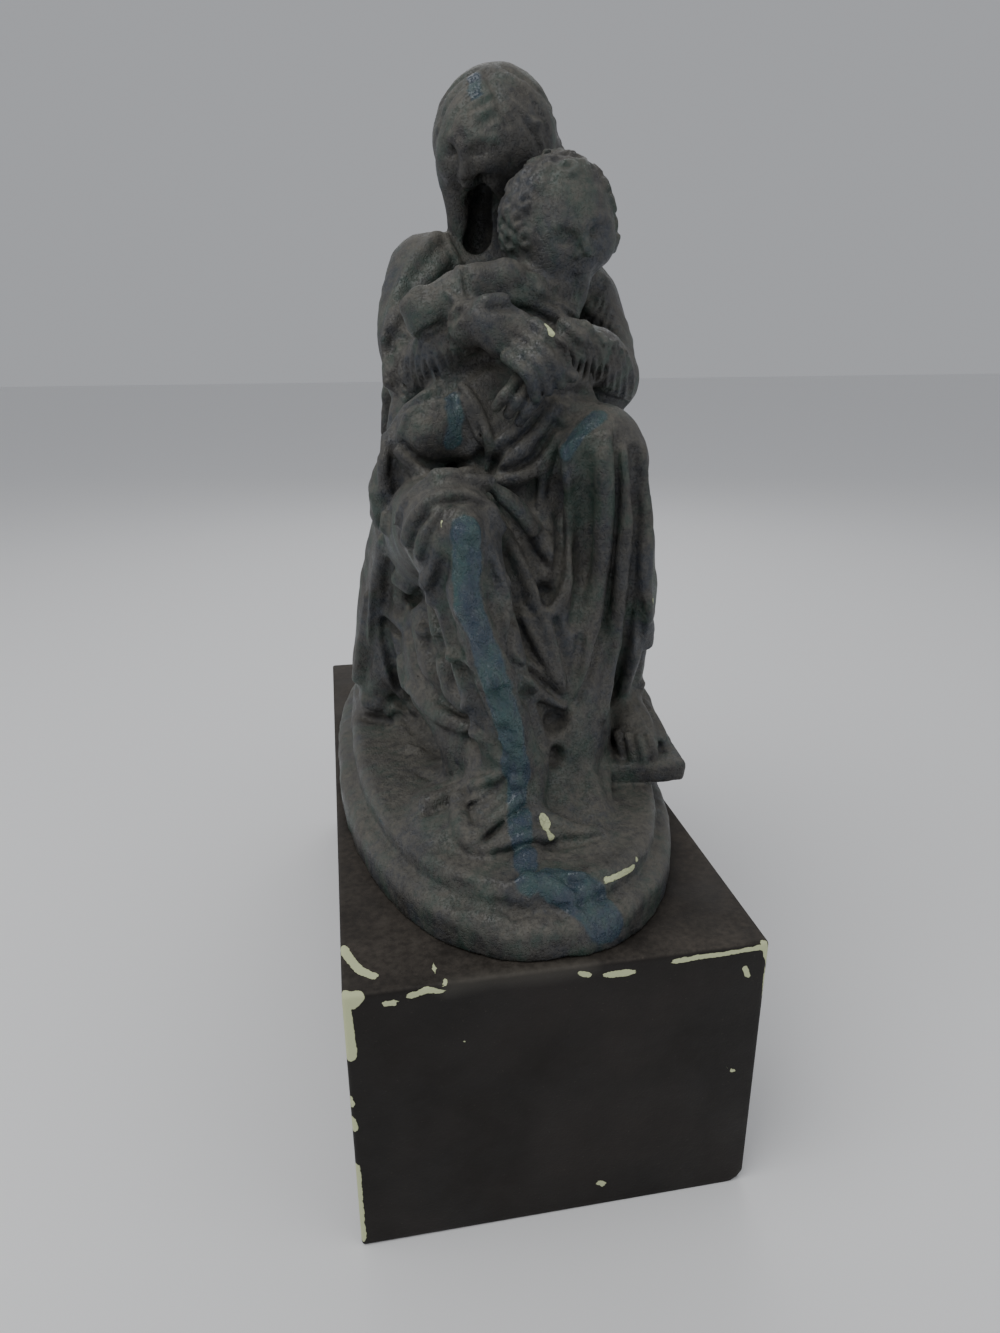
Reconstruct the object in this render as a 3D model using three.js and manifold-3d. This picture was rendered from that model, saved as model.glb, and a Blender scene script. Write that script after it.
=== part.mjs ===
// A seated mother holding her child, cast as one with its oval base, on a painted block plinth.
// Millimetres, +Z up. The origin is the middle of the plinth's underside. The figures face -Y.
// The casting is worked as a sculptor works clay: lumps and limbs are joined into one solid.

import * as THREE from 'three';
import { mergeVertices } from 'three/addons/utils/BufferGeometryUtils.js';
import Module from 'manifold-3d';

const wasm = await Module();
wasm.setup();

// Driving dimensions
const plinthWidth = 135;
const plinthLength = 287;
const plinthHeight = 103;
const plinthEdge = 1.5;
const restGap = 0.3;
const baseHalfWidth = 65.5;
const baseHalfLength = 140;
const baseHeight = 22;
const ovalPower = 2.3;
const ovalSides = 36;
const mouldingHeight = 14;
const mouldingBulge = 4;
const grooveInset = 8;
const deckDome = 2.5;

// Heights that the figure is built from
const baseFoot = plinthHeight + restGap;
const deck = baseFoot + baseHeight;

const at = (x, y, z) => new THREE.Vector3(x, y, z);
const UP = at(0, 0, 1);
const FORWARD = at(0, -1, 0);

// Closed solids from three.js shapes

function weld(geometry) {
  const bare = geometry.index ? geometry.clone() : geometry;
  for (const name of Object.keys(bare.attributes)) {
    if (name !== 'position') {
      bare.deleteAttribute(name);
    }
  }
  const merged = mergeVertices(bare, 1e-4);
  const kept = [];
  const index = merged.index.array;
  for (let i = 0; i < index.length; i += 3) {
    const [a, b, c] = [index[i], index[i + 1], index[i + 2]];
    if (a !== b && b !== c && c !== a) {
      kept.push(a, b, c);
    }
  }
  merged.setIndex(kept);
  return merged;
}

// Turns a shape's faces outwards where its making left them facing in.
function facingOut(geometry) {
  const position = geometry.attributes.position;
  const index = geometry.index.array;
  const corner = (n) => new THREE.Vector3().fromBufferAttribute(position, index[n]);
  let volume = 0;
  for (let i = 0; i < index.length; i += 3) {
    volume += corner(i).dot(corner(i + 1).cross(corner(i + 2)));
  }
  if (volume < 0) {
    geometry.setIndex(Array.from(index).reverse());
  }
  return geometry;
}

function solid(geometry) {
  const merged = facingOut(weld(geometry));
  const mesh = new wasm.Mesh({
    numProp: 3,
    vertProperties: Float32Array.from(merged.attributes.position.array),
    triVerts: Uint32Array.from(merged.index.array),
  });
  return new wasm.Manifold(mesh);
}

function joined(solids) {
  return solids.reduce((whole, piece) => whole.add(piece));
}

function toGeometry(manifold) {
  const mesh = manifold.getMesh();
  const geometry = new THREE.BufferGeometry();
  geometry.setAttribute('position', new THREE.BufferAttribute(Float32Array.from(mesh.vertProperties), 3));
  geometry.setIndex(Array.from(mesh.triVerts));
  geometry.computeVertexNormals();
  return geometry;
}

// Keeps the outside of a solid: the small pockets left between the lumps are filled.
function filled(geometry) {
  const index = geometry.index.array;
  const leader = Array.from({ length: geometry.attributes.position.count }, (_, n) => n);
  const find = (n) => {
    let top = n;
    while (leader[top] !== top) {
      top = leader[top];
    }
    leader[n] = top;
    return top;
  };
  for (let i = 0; i < index.length; i += 3) {
    leader[find(index[i + 1])] = find(index[i]);
    leader[find(index[i + 2])] = find(index[i]);
  }
  const shells = new Map();
  for (let i = 0; i < index.length; i += 3) {
    const shell = find(index[i]);
    if (!shells.has(shell)) {
      shells.set(shell, []);
    }
    shells.get(shell).push(index[i], index[i + 1], index[i + 2]);
  }
  const outside = [...shells.values()].reduce((best, shell) => (shell.length > best.length ? shell : best));
  geometry.setIndex(outside);
  return weld(geometry);
}

// An egg-shaped lump: half sizes along its own axes, turned by degrees about X, Y and Z.
function lump(centre, half, turn = [0, 0, 0], sides = 12) {
  const geometry = new THREE.SphereGeometry(1, sides, Math.max(5, Math.round(sides * 0.6)));
  geometry.rotateX(Math.PI / 2);
  geometry.scale(...half);
  const [rx, ry, rz] = turn.map(THREE.MathUtils.degToRad);
  geometry.applyMatrix4(new THREE.Matrix4().makeRotationFromEuler(new THREE.Euler(rx, ry, rz, 'XYZ')));
  geometry.translate(centre.x, centre.y, centre.z);
  return solid(geometry);
}

// A round-ended limb bent along a curve through the given places. Each radius belongs to a place,
// and flat squeezes the section along the direction that faces out.
function limb(places, radii, { sides = 10, flat = 1, out = FORWARD, steps = 0 } = {}) {
  const curve = new THREE.CatmullRomCurve3(places);
  const rows = steps || (places.length - 1) * 2;
  const capRows = sides > 8 ? 3 : 2;
  const geometry = new THREE.CapsuleGeometry(1, 1, capRows, sides, rows);
  const position = geometry.attributes.position;
  const radiusAt = (t) => {
    const span = t * (radii.length - 1);
    const before = Math.min(Math.floor(span), radii.length - 2);
    return THREE.MathUtils.lerp(radii[before], radii[before + 1], span - before);
  };
  for (let i = 0; i < position.count; i += 1) {
    const along = position.getY(i);
    const t = THREE.MathUtils.clamp(along + 0.5, 0, 1);
    const beyond = along + 0.5 - t;
    const radius = radiusAt(t);
    const tangent = curve.getTangent(t);
    const side = new THREE.Vector3().crossVectors(tangent, out).normalize();
    const face = new THREE.Vector3().crossVectors(side, tangent).normalize();
    const place = curve.getPoint(t)
      .addScaledVector(side, position.getX(i) * radius)
      .addScaledVector(face, -position.getZ(i) * radius * flat)
      .addScaledVector(tangent, beyond * radius);
    position.setXYZ(i, place.x, place.y, place.z);
  }
  return solid(geometry);
}

// The oval base: a moulded profile turned on the axis and stretched to the oval

function ovalFactor(angle) {
  const c = Math.abs(Math.cos(angle)) ** ovalPower;
  const s = Math.abs(Math.sin(angle)) ** ovalPower;
  return (c + s) ** (-1 / ovalPower);
}

function ovalBase() {
  const profile = [
    [1, 0, 0],
    [1, 0, 0.12 * mouldingHeight],
    [1, -mouldingBulge * 0.1, 0.55 * mouldingHeight],
    [1, -mouldingBulge, mouldingHeight],
    [1, -grooveInset, mouldingHeight - 0.5],
    [1, -grooveInset - 4, baseHeight - 3],
    [1, -grooveInset - 14, baseHeight],
    [0, 0, baseHeight + deckDome],
  ];
  const outline = profile.map(([scale, inset, height]) => new THREE.Vector2(scale * (100 + inset), height));
  outline.unshift(new THREE.Vector2(0, 0));
  const geometry = new THREE.LatheGeometry(outline, ovalSides);
  geometry.rotateX(Math.PI / 2);
  const position = geometry.attributes.position;
  for (let i = 0; i < position.count; i += 1) {
    const x = position.getX(i);
    const y = position.getY(i);
    const radius = Math.hypot(x, y);
    const angle = Math.atan2(y, x);
    const inset = 100 - radius;
    const share = radius > 1e-6 ? ovalFactor(angle) : 0;
    const stretchX = radius > 1e-6 ? (baseHalfWidth - inset) * share : 0;
    const stretchY = radius > 1e-6 ? (baseHalfLength - inset) * share : 0;
    position.setXYZ(i, stretchX * Math.cos(angle), stretchY * Math.sin(angle), position.getZ(i) + baseFoot);
  }
  return solid(geometry);
}

// Mother

const head = at(6.8, 4, 351.5);
const headHalf = [22.5, 24, 23.5];
const neck = at(8, 13, 320);
const rightShoulder = at(-18, 12, 305);
const leftShoulder = at(40, 12, 297);
const rightElbow = at(-25, -12, 271);
const leftElbow = at(45, -18, 269);
const rightWrist = at(-9, -50, 288);
const leftWrist = at(22, -51, 283);
const rightKnee = at(-24, -82, 228);
const leftKnee = at(30.5, -57, 246);
const rightAnkle = at(-4, -86, 146);
const leftAnkle = at(44, -42, 154);
const rightToes = at(-8, -124, 130);
const leftToes = at(51, -60, 139);

function motherHead() {
  const pieces = [
    lump(head, headHalf, [0, 0, 0], 12),
    lump(at(3, -9, 341), [14, 13, 18], [30, 0, -18], 8),
    limb([neck, at(8, 6, 336)], [12, 12], { sides: 8, steps: 1 }),
    limb([at(-8, 2, 341), at(-5, 6, 326), at(-2, 10, 313)], [7, 5.5, 7], { sides: 8, steps: 2 }),
    limb([at(24, 10, 344), at(27, 14, 324), at(30, 16, 304)], [12, 12, 14], { sides: 8 }),
  ];
  return pieces;
}

function motherTorso() {
  return [
    limb([at(4, 26, 186), at(7, 24, 240), at(9, 18, 296)], [36, 33, 26], { sides: 10, flat: 0.8, steps: 3 }),
    limb([rightShoulder, at(11, 15, 306), leftShoulder], [12.5, 17, 12], { sides: 10, steps: 2 }),
    limb([rightShoulder, at(-25, 4, 290), rightElbow], [16, 14, 13], { sides: 10, steps: 3 }),
    limb([leftShoulder, at(46, 0, 284), leftElbow], [15, 13, 12], { sides: 10, steps: 3 }),
    limb([rightElbow, at(-20, -34, 279), rightWrist], [10, 9.5, 7.5], { sides: 8, steps: 3 }),
    limb([leftElbow, at(37, -36, 277), leftWrist], [9.5, 9.5, 7.5], { sides: 8, steps: 3 }),
    limb([at(-24, 6, 280), at(-26, 8, 244), at(-28, 6, 210)], [13, 13.5, 14], { sides: 8, steps: 2 }),
  ];
}

function cloak() {
  return [
    limb([at(10, 26, 300), at(9, 40, 250), at(6, 52, 200), at(4, 62, 150)], [26, 32, 36, 42], { sides: 12, flat: 0.6, steps: 4 }),
    limb([at(-16, 30, 200), at(-30, 28, 165), at(-38, 30, 136)], [20, 18, 16], { sides: 8, steps: 3 }),
    limb([at(28, 30, 200), at(38, 28, 165), at(42, 26, 136)], [20, 18, 16], { sides: 8, steps: 3 }),
  ];
}

function hands() {
  const pieces = [lump(at(1, -57, 286), [12, 8, 7], [0, 25, 0], 8)];
  for (let finger = 0; finger < 4; finger += 1) {
    const root = at(4 + finger * 3, -62 + finger * 0.6, 280 + finger * 2);
    const tip = at(10 + finger * 2.6, -64 + finger * 0.8, 267 + finger * 2.2);
    pieces.push(limb([root, tip], [3, 2.4], { sides: 5, steps: 1 }));
  }
  for (let finger = 0; finger < 3; finger += 1) {
    const root = at(4 + finger * 4, -60, 276 - finger * 2);
    const tip = at(-2 + finger * 4.4, -61, 262 - finger * 0.5);
    pieces.push(limb([root, tip], [3, 2.4], { sides: 5, steps: 1 }));
  }
  return pieces;
}

// Child

const childHead = at(23, -26, 321);
const childSeat = at(-8, -36, 260);
const curlReach = 17;
const curlHalf = [7.5, 7.5, 7];

function child() {
  return [
    lump(childHead, [20, 20, 21.5], [0, 0, 0], 12),
    limb([at(20, -24, 302), at(8, -32, 284), childSeat], [15, 18, 18], { sides: 10, steps: 3 }),
    limb([at(2, -40, 299), at(-12, -43, 297), at(-25, -42, 291)], [9.5, 9, 8], { sides: 8, steps: 2 }),
    limb([childSeat, at(-25, -42, 254), at(-37, -34, 236), at(-41, -30, 224)], [15, 12, 9, 6], { sides: 8, steps: 4 }),
    lump(at(16, -44, 262), [17, 16, 16], [0, 0, 0], 8),
    lump(at(-40, -20, 221), [5, 8, 5], [0, 0, 0], 6),
  ];
}

function curls() {
  const pieces = [];
  const rows = [{ tilt: 62, count: 3 }, { tilt: 28, count: 4 }, { tilt: -8, count: 4 }];
  for (const { tilt, count } of rows) {
    for (let n = 0; n < count; n += 1) {
      const around = THREE.MathUtils.degToRad(80 + (n / (count - 1)) * 165);
      const lift = THREE.MathUtils.degToRad(tilt);
      const spot = at(
        childHead.x + curlReach * Math.cos(lift) * Math.cos(around),
        childHead.y + curlReach * Math.cos(lift) * Math.sin(around),
        childHead.z + curlReach * Math.sin(lift),
      );
      pieces.push(lump(spot, curlHalf, [0, 0, 0], 5));
    }
  }
  return pieces;
}

// Legs and the skirt that hangs over them

function legs() {
  return [
    limb([at(-14, 12, 188), at(-23, -40, 218), rightKnee], [28, 20, 15], { sides: 10, steps: 3 }),
    limb([at(22, 12, 192), at(30, -30, 234), leftKnee], [28, 21, 17], { sides: 10, steps: 3 }),
    limb([at(-22, -83, 222), at(-14, -86, 188), rightAnkle], [13, 12.5, 11], { sides: 10, steps: 3 }),
    limb([at(32, -57, 240), at(40, -56, 200), leftAnkle], [15.5, 14.5, 12], { sides: 10, steps: 3 }),
    limb([rightAnkle, at(-7, -106, 135), rightToes], [11, 9, 6.5], { sides: 8, steps: 2 }),
    limb([leftAnkle, at(48, -50, 143), leftToes], [9, 7, 5], { sides: 8, steps: 2 }),
  ];
}

function skirt() {
  return [
    limb([at(8, -30, 228), at(6, -48, 190), at(5, -58, 145)], [29, 33, 33], { sides: 10, flat: 0.85, steps: 3 }),
    lump(at(-6, -30, 168), [32, 42, 42], [0, 0, 0], 10),
    limb([at(-28, -22, 212), at(-34, -6, 184), at(-38, 12, 142)], [17, 16, 17], { sides: 8, steps: 3 }),
    limb([at(36, -8, 215), at(38, -14, 180), at(38, -14, 140)], [17, 17, 18], { sides: 8, steps: 3 }),
  ];
}

function slab() {
  const block = new THREE.BoxGeometry(27, 36, 9);
  block.rotateZ(-0.12);
  block.translate(50, -46, 130.5);
  return solid(block);
}

function ground() {
  return [
    slab(),
    limb([at(16, -62, 166), at(23, -92, 129)], [11, 5], { sides: 6, steps: 2 }),
    lump(at(0, 44, 127), [52, 80, 23], [0, 0, 0], 12),
    lump(at(-36, 22, 130), [18, 24, 10], [0, 0, 0], 8),
    lump(at(-14, -84, 126), [26, 26, 12], [0, 0, 10], 8),
  ];
}

// Main folds of the cloth and strands of the hair, laid on as thin ridges. A fold's route is drawn
// as it is seen from the front, as places across and up, and it falls back onto the cloth.

const kneeFold = 2.8;
const hemFold = 3.4;
const sleeveFold = 2.2;

function laidOn(body, route, thickness) {
  const ray = new THREE.Raycaster();
  const places = route.map(([x, z]) => {
    ray.set(at(x, -plinthLength, z), at(0, 1, 0));
    return ray.intersectObject(body)[0].point;
  });
  return limb(places, [thickness * 0.5, thickness, thickness * 0.6], { sides: 4, steps: places.length });
}

function folds(body) {
  const overKnees = [
    [[-40, 214], [-37, 231], [-24, 241], [-12, 236], [0, 221], [12, 205], [18, 192]],
    [[-13, 222], [0, 207], [8, 194], [14, 172]],
    [[17, 240], [20, 218], [18, 204], [6, 199]],
    [[28, 240], [29, 212], [25, 182], [23, 152]],
    [[36, 240], [38, 205], [36, 170]],
    [[-12, 239], [1, 237], [13, 243]],
  ];
  const nearGround = [
    [[-40, 200], [-36, 176], [-25, 158], [-17, 148]],
    [[-46, 195], [-46, 168], [-49, 142]],
  ];
  const sleeves = [
    [[-20, 318], [-30, 301], [-34, 280]],
    [[49, 301], [51, 283], [51, 266]],
    [[-33, 284], [-33, 273], [-33, 264]],
    [[-14, 266], [-6, 255], [-8, 241]],
  ];
  return [
    ...overKnees.map((route) => laidOn(body, route, kneeFold)),
    ...nearGround.map((route) => laidOn(body, route, hemFold)),
    ...sleeves.map((route) => laidOn(body, route, sleeveFold)),
  ];
}

// A place on the mother's head: degrees round from the face towards her left, and degrees up.
function onHead(around, lift, rise = 0) {
  const a = THREE.MathUtils.degToRad(around);
  const b = THREE.MathUtils.degToRad(lift);
  const reach = at(Math.sin(a) * Math.cos(b), -Math.cos(a) * Math.cos(b), Math.sin(b));
  return head.clone().add(reach.multiply(at(headHalf[0] + rise, headHalf[1] + rise, headHalf[2] + rise)));
}

function hairStrands() {
  const pieces = [];
  for (const side of [-1, 1]) {
    for (let strand = 0; strand < 3; strand += 1) {
      const crown = onHead(side * 12, 44 + strand * 20, -1);
      const temple = onHead(side * (44 + strand * 18), 30 + strand * 6, -0.5);
      const ear = onHead(side * (78 + strand * 20), -8, -1);
      pieces.push(limb([crown, temple, ear], [1.5, 3, 2.5], { sides: 4, steps: 3 }));
    }
  }
  return pieces;
}

function motherAndChild() {
  const body = joined([
    ovalBase(),
    ...ground(),
    ...cloak(),
    ...legs(),
    ...skirt(),
    ...motherTorso(),
    ...motherHead(),
    ...child(),
    ...hands(),
  ]);
  const surface = new THREE.Mesh(toGeometry(body));
  return filled(toGeometry(joined([body, ...folds(surface), ...curls(), ...hairStrands()])));
}

function plinthBlock() {
  const shape = new THREE.Shape();
  const halfWidth = plinthWidth / 2 - plinthEdge;
  const halfLength = plinthLength / 2 - plinthEdge;
  shape.moveTo(-halfWidth, -halfLength);
  shape.lineTo(halfWidth, -halfLength);
  shape.lineTo(halfWidth, halfLength);
  shape.lineTo(-halfWidth, halfLength);
  shape.closePath();
  const geometry = new THREE.ExtrudeGeometry(shape, {
    depth: plinthHeight - 2 * plinthEdge,
    bevelEnabled: true,
    bevelThickness: plinthEdge,
    bevelSize: plinthEdge,
    bevelSegments: 1,
  });
  geometry.translate(0, 0, plinthEdge);
  return weld(geometry);
}

// The parts

const paintedBlack = new THREE.MeshStandardMaterial({ color: 0x1f1815, roughness: 0.6, metalness: 0 });
const bronzedPlaster = new THREE.MeshStandardMaterial({ color: 0x2c3033, roughness: 0.45, metalness: 0.1 });

function named(name, geometry, material) {
  const mesh = new THREE.Mesh(geometry, material);
  mesh.name = name;
  return mesh;
}

const figurine = new THREE.Group();
figurine.add(named('plinth', plinthBlock(), paintedBlack));
figurine.add(named('mother_and_child', motherAndChild(), bronzedPlaster));

export default figurine;
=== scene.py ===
# %% [markdown]
# A mother holds her child. The group is one plaster casting with its oval base, painted to pass
# for bronze, and it is fixed on a painted block. This lesson models the two pieces around the
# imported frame: the frame gives their size and place, and each cell adds one form or one finish.

# %% Frame and sizes
import math

import bmesh
import bpy
import numpy as np
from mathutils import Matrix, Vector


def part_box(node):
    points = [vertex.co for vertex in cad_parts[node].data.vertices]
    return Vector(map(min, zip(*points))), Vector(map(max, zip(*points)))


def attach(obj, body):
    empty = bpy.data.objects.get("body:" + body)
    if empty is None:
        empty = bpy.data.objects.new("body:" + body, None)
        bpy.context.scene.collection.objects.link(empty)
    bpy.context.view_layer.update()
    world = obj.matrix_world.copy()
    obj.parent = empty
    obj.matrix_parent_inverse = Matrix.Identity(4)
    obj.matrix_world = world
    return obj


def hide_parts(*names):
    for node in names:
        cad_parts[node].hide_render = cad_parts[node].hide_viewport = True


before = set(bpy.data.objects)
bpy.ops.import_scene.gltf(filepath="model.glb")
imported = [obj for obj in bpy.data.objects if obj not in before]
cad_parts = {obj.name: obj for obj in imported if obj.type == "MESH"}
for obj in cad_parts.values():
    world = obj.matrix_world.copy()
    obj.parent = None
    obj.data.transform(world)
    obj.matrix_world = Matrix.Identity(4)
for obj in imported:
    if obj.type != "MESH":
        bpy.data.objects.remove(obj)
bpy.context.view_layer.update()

import openvdb
from mathutils import Euler, Matrix, Vector

MM = 0.001
plinth_low, plinth_high = (np.array(corner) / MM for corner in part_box("plinth"))
figure_low, figure_high = (np.array(corner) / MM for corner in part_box("mother_and_child"))
plinth_top = float(plinth_high[2])
base_foot = float(figure_low[2])
BASE_HEIGHT = 22.0
deck = base_foot + BASE_HEIGHT
print("plinth", plinth_low.round(1), plinth_high.round(1), "figure", figure_low.round(1), figure_high.round(1))

# %% [markdown]
# The photograph was taken with a wide lens a forearm's length away, from a little above. The
# vanishing points of the block's edges give the camera's turn, tilt and place. The same numbers
# make the camera here, and they later drop lines drawn on the photograph onto the clay.

# %% Camera
LENS = 24.0
SENSOR = 36.0
PHOTO_WIDTH, PHOTO_HEIGHT = 1000, 1333
CAMERA_TURN, CAMERA_TILT, CAMERA_ROLL = (math.radians(a) for a in (10.42, 20.37, 0.287))
CAMERA_PLACE = np.array([-59.4, -359.3, 284.5])


def camera_axes():
    level = np.array([math.cos(CAMERA_TURN), -math.sin(CAMERA_TURN), 0.0])
    ahead = np.array([math.sin(CAMERA_TURN), math.cos(CAMERA_TURN), 0.0])
    up = np.array([0.0, 0.0, 1.0])
    look = ahead * math.cos(CAMERA_TILT) - up * math.sin(CAMERA_TILT)
    top = ahead * math.sin(CAMERA_TILT) + up * math.cos(CAMERA_TILT)
    right = level * math.cos(CAMERA_ROLL) - top * math.sin(CAMERA_ROLL)
    top = top * math.cos(CAMERA_ROLL) + level * math.sin(CAMERA_ROLL)
    return right, top, look


cam_right, cam_top, cam_look = camera_axes()
camera_data = bpy.data.cameras.new("photo_camera")
camera_data.lens = LENS
camera_data.sensor_width = SENSOR
camera_data.clip_start = 0.01
camera = bpy.data.objects.new("photo_camera", camera_data)
bpy.context.scene.collection.objects.link(camera)
camera.matrix_world = Matrix(
    [[*row, place] for row, place in zip(np.array([cam_right, cam_top, -cam_look]).T, CAMERA_PLACE * MM)]
    + [[0, 0, 0, 1]]
)
bpy.context.scene.camera = camera


def sight_line(u, v):
    """The direction from the camera through a pixel of the photograph."""
    pixels_per_lens = LENS / SENSOR * PHOTO_HEIGHT
    across = (u - PHOTO_WIDTH / 2) / pixels_per_lens
    down = (v - PHOTO_HEIGHT / 2) / pixels_per_lens
    line = cam_look + cam_right * across - cam_top * down
    return line / np.linalg.norm(line)


print("camera at", CAMERA_PLACE, "looks along", cam_look.round(3))

# %% [markdown]
# The real figure was modelled in clay before it was cast. Loose mesh balls would show hard seams
# where they meet, so this lesson keeps the clay as a distance field: a grid whose points hold the
# distance to the surface, negative inside. Two forms melt together with a soft minimum, a crease
# is pressed in with a soft maximum, and the surface is taken from the grid once, at the end.

# %% Clay
GRAIN = 0.85
FAR = 12.0
CLAY_LOW = np.array([-72.0, -146.0, base_foot - 3.0])
CLAY_HIGH = np.array([72.0, 146.0, figure_high[2] + 6.0])
grid_counts = np.ceil((CLAY_HIGH - CLAY_LOW) / GRAIN).astype(int) + 1
grid_axes = [(CLAY_LOW[n] + GRAIN * np.arange(grid_counts[n])).astype(np.float32) for n in range(3)]
clay = np.full(tuple(grid_counts), FAR, np.float32)


def part_of_grid(low, high):
    """The slices of the grid between two corners, and the coordinates there."""
    first = np.clip(np.floor((np.array(low) - CLAY_LOW) / GRAIN).astype(int), 0, grid_counts - 1)
    last = np.clip(np.ceil((np.array(high) - CLAY_LOW) / GRAIN).astype(int) + 1, first + 1, grid_counts)
    slices = tuple(slice(a, b) for a, b in zip(first, last))
    x, y, z = (axis[s] for axis, s in zip(grid_axes, slices))
    return slices, x[:, None, None], y[None, :, None], z[None, None, :]


def soft_min(a, b, blend):
    near = np.maximum(blend - np.abs(a - b), 0) / blend
    return np.minimum(a, b) - near * near * blend * 0.25


def merge(slices, distance, blend, carve=False):
    old = clay[slices]
    clay[slices] = -soft_min(-old, distance, blend) if carve else soft_min(old, distance, blend)


def turned(turn):
    return np.array(Euler([math.radians(a) for a in turn]).to_matrix())


def lump(centre, half, turn=(0, 0, 0), blend=5.0, carve=False):
    """An egg-shaped lump with half sizes along its own axes, added or pressed in."""
    margin = max(half) + blend + 2
    slices, x, y, z = part_of_grid(np.array(centre) - margin, np.array(centre) + margin)
    axes = turned(turn)
    local = [axes[0, n] * (x - centre[0]) + axes[1, n] * (y - centre[1]) + axes[2, n] * (z - centre[2]) for n in range(3)]
    one = np.sqrt(sum((c / h) ** 2 for c, h in zip(local, half)))
    two = np.sqrt(sum((c / (h * h)) ** 2 for c, h in zip(local, half)))
    merge(slices, (one * (one - 1) / np.maximum(two, 1e-6)).astype(np.float32), blend, carve)


def smooth_route(places, radii, pieces):
    """Points and radii along a smooth curve through the places."""
    places = np.array(places, float)
    radii = np.interp(np.linspace(0, 1, len(places)), np.linspace(0, 1, len(radii)), radii)
    if len(places) == 2:
        share = np.linspace(0, 1, 2)[:, None]
        return places, radii
    padded = np.vstack([2 * places[0] - places[1], places, 2 * places[-1] - places[-2]])
    points, widths = [], []
    for n in range(len(places) - 1):
        p0, p1, p2, p3 = padded[n:n + 4]
        for t in np.linspace(0, 1, pieces, endpoint=False):
            points.append(0.5 * (2 * p1 + (p2 - p0) * t + (2 * p0 - 5 * p1 + 4 * p2 - p3) * t ** 2
                                 + (3 * p1 - p0 - 3 * p2 + p3) * t ** 3))
            widths.append(radii[n] + (radii[n + 1] - radii[n]) * (t * t * (3 - 2 * t)))
    return np.vstack([points, places[-1]]), np.append(widths, radii[-1])


def limb(places, radii, flat=1.0, out=(0, -1, 0), blend=4.0, carve=False, pieces=4):
    """A round-ended limb, fold or finger along a smooth curve. flat thins it along out."""
    points, widths = smooth_route(places, radii, pieces)
    out = np.array(out, float) / np.linalg.norm(out)
    margin = max(widths) + blend + 2
    slices, x, y, z = part_of_grid(points.min(axis=0) - margin, points.max(axis=0) + margin)
    offset = [s.start for s in slices]
    best = np.full([s.stop - s.start for s in slices], FAR, np.float32)
    squeeze = 1 / flat - 1
    for a, b, ra, rb in zip(points[:-1], points[1:], widths[:-1], widths[1:]):
        reach = max(ra, rb) + blend + 2
        inner, px, py, pz = part_of_grid(np.minimum(a, b) - reach, np.maximum(a, b) + reach)
        local = tuple(slice(s.start - o, s.stop - o) for s, o in zip(inner, offset))
        along = b - a
        stretch = along + out * (along @ out) * squeeze
        dx, dy, dz = px - a[0], py - a[1], pz - a[2]
        facing = (dx * out[0] + dy * out[1] + dz * out[2]) * squeeze
        dx, dy, dz = dx + out[0] * facing, dy + out[1] * facing, dz + out[2] * facing
        t = np.clip((dx * stretch[0] + dy * stretch[1] + dz * stretch[2]) / max(stretch @ stretch, 1e-9), 0, 1)
        away = np.sqrt((dx - t * stretch[0]) ** 2 + (dy - t * stretch[1]) ** 2 + (dz - t * stretch[2]) ** 2)
        distance = (away - (ra + t * (rb - ra))) * (flat if flat < 1 else 1)
        best[local] = np.minimum(best[local], distance.astype(np.float32))
    merge(slices, best, blend, carve)


def measure(points):
    """The clay's distance at any points, read between the grid points."""
    at = (np.asarray(points, float) - CLAY_LOW) / GRAIN
    at = np.clip(at, 0, grid_counts - 1.001)
    cell = np.floor(at).astype(int)
    share = at - cell
    total = np.zeros(len(at))
    for i in (0, 1):
        for j in (0, 1):
            for k in (0, 1):
                weight = np.abs(1 - i - share[:, 0]) * np.abs(1 - j - share[:, 1]) * np.abs(1 - k - share[:, 2])
                total += weight * clay[cell[:, 0] + i, cell[:, 1] + j, cell[:, 2] + k]
    return total


def strike(start, direction):
    """The first place where a line from start meets the clay."""
    steps = np.arange(0, 700, GRAIN * 0.5)
    points = np.array(start, float) + steps[:, None] * np.array(direction, float)
    inside = (points >= CLAY_LOW).all(axis=1) & (points <= CLAY_HIGH).all(axis=1)
    points = points[inside]
    depths = measure(points)
    hits = np.nonzero(depths < 0)[0]
    if not len(hits):
        return None
    first = hits[0]
    if first == 0:
        return points[0]
    share = depths[first - 1] / (depths[first - 1] - depths[first])
    return points[first - 1] + (points[first] - points[first - 1]) * share


STEP_PIXELS = 6
JUMP = 5.0


def evened(places):
    """The same places with the small steps between neighbours taken out."""
    places = np.array(places)
    for _ in range(3):
        places[1:-1] = (places[:-2] + 2 * places[1:-1] + places[2:]) / 4
    return places


def seen(pixels, radii):
    """Runs of places on the clay along a line of the photograph, each with its radii.

    The line is cut where the clay steps away behind an edge, so no stroke goes through it."""
    pixels = np.array(pixels, float)
    lengths = np.append(0, np.cumsum(np.linalg.norm(np.diff(pixels, axis=0), axis=1)))
    count = max(2, int(lengths[-1] / STEP_PIXELS) + 1)
    at = np.linspace(0, lengths[-1], count)
    widths = np.interp(at, np.linspace(0, lengths[-1], len(radii)), radii)
    runs, last = [], None
    for u, v, width in zip(np.interp(at, lengths, pixels[:, 0]), np.interp(at, lengths, pixels[:, 1]), widths):
        place = strike(CAMERA_PLACE, sight_line(u, v))
        if place is None:
            last = None
            continue
        if last is None or np.linalg.norm(place - last) > JUMP:
            runs.append(([], []))
        runs[-1][0].append(place)
        runs[-1][1].append(width)
        last = place
    return [(evened(places), widths) for places, widths in runs if len(places) > 1]


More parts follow.
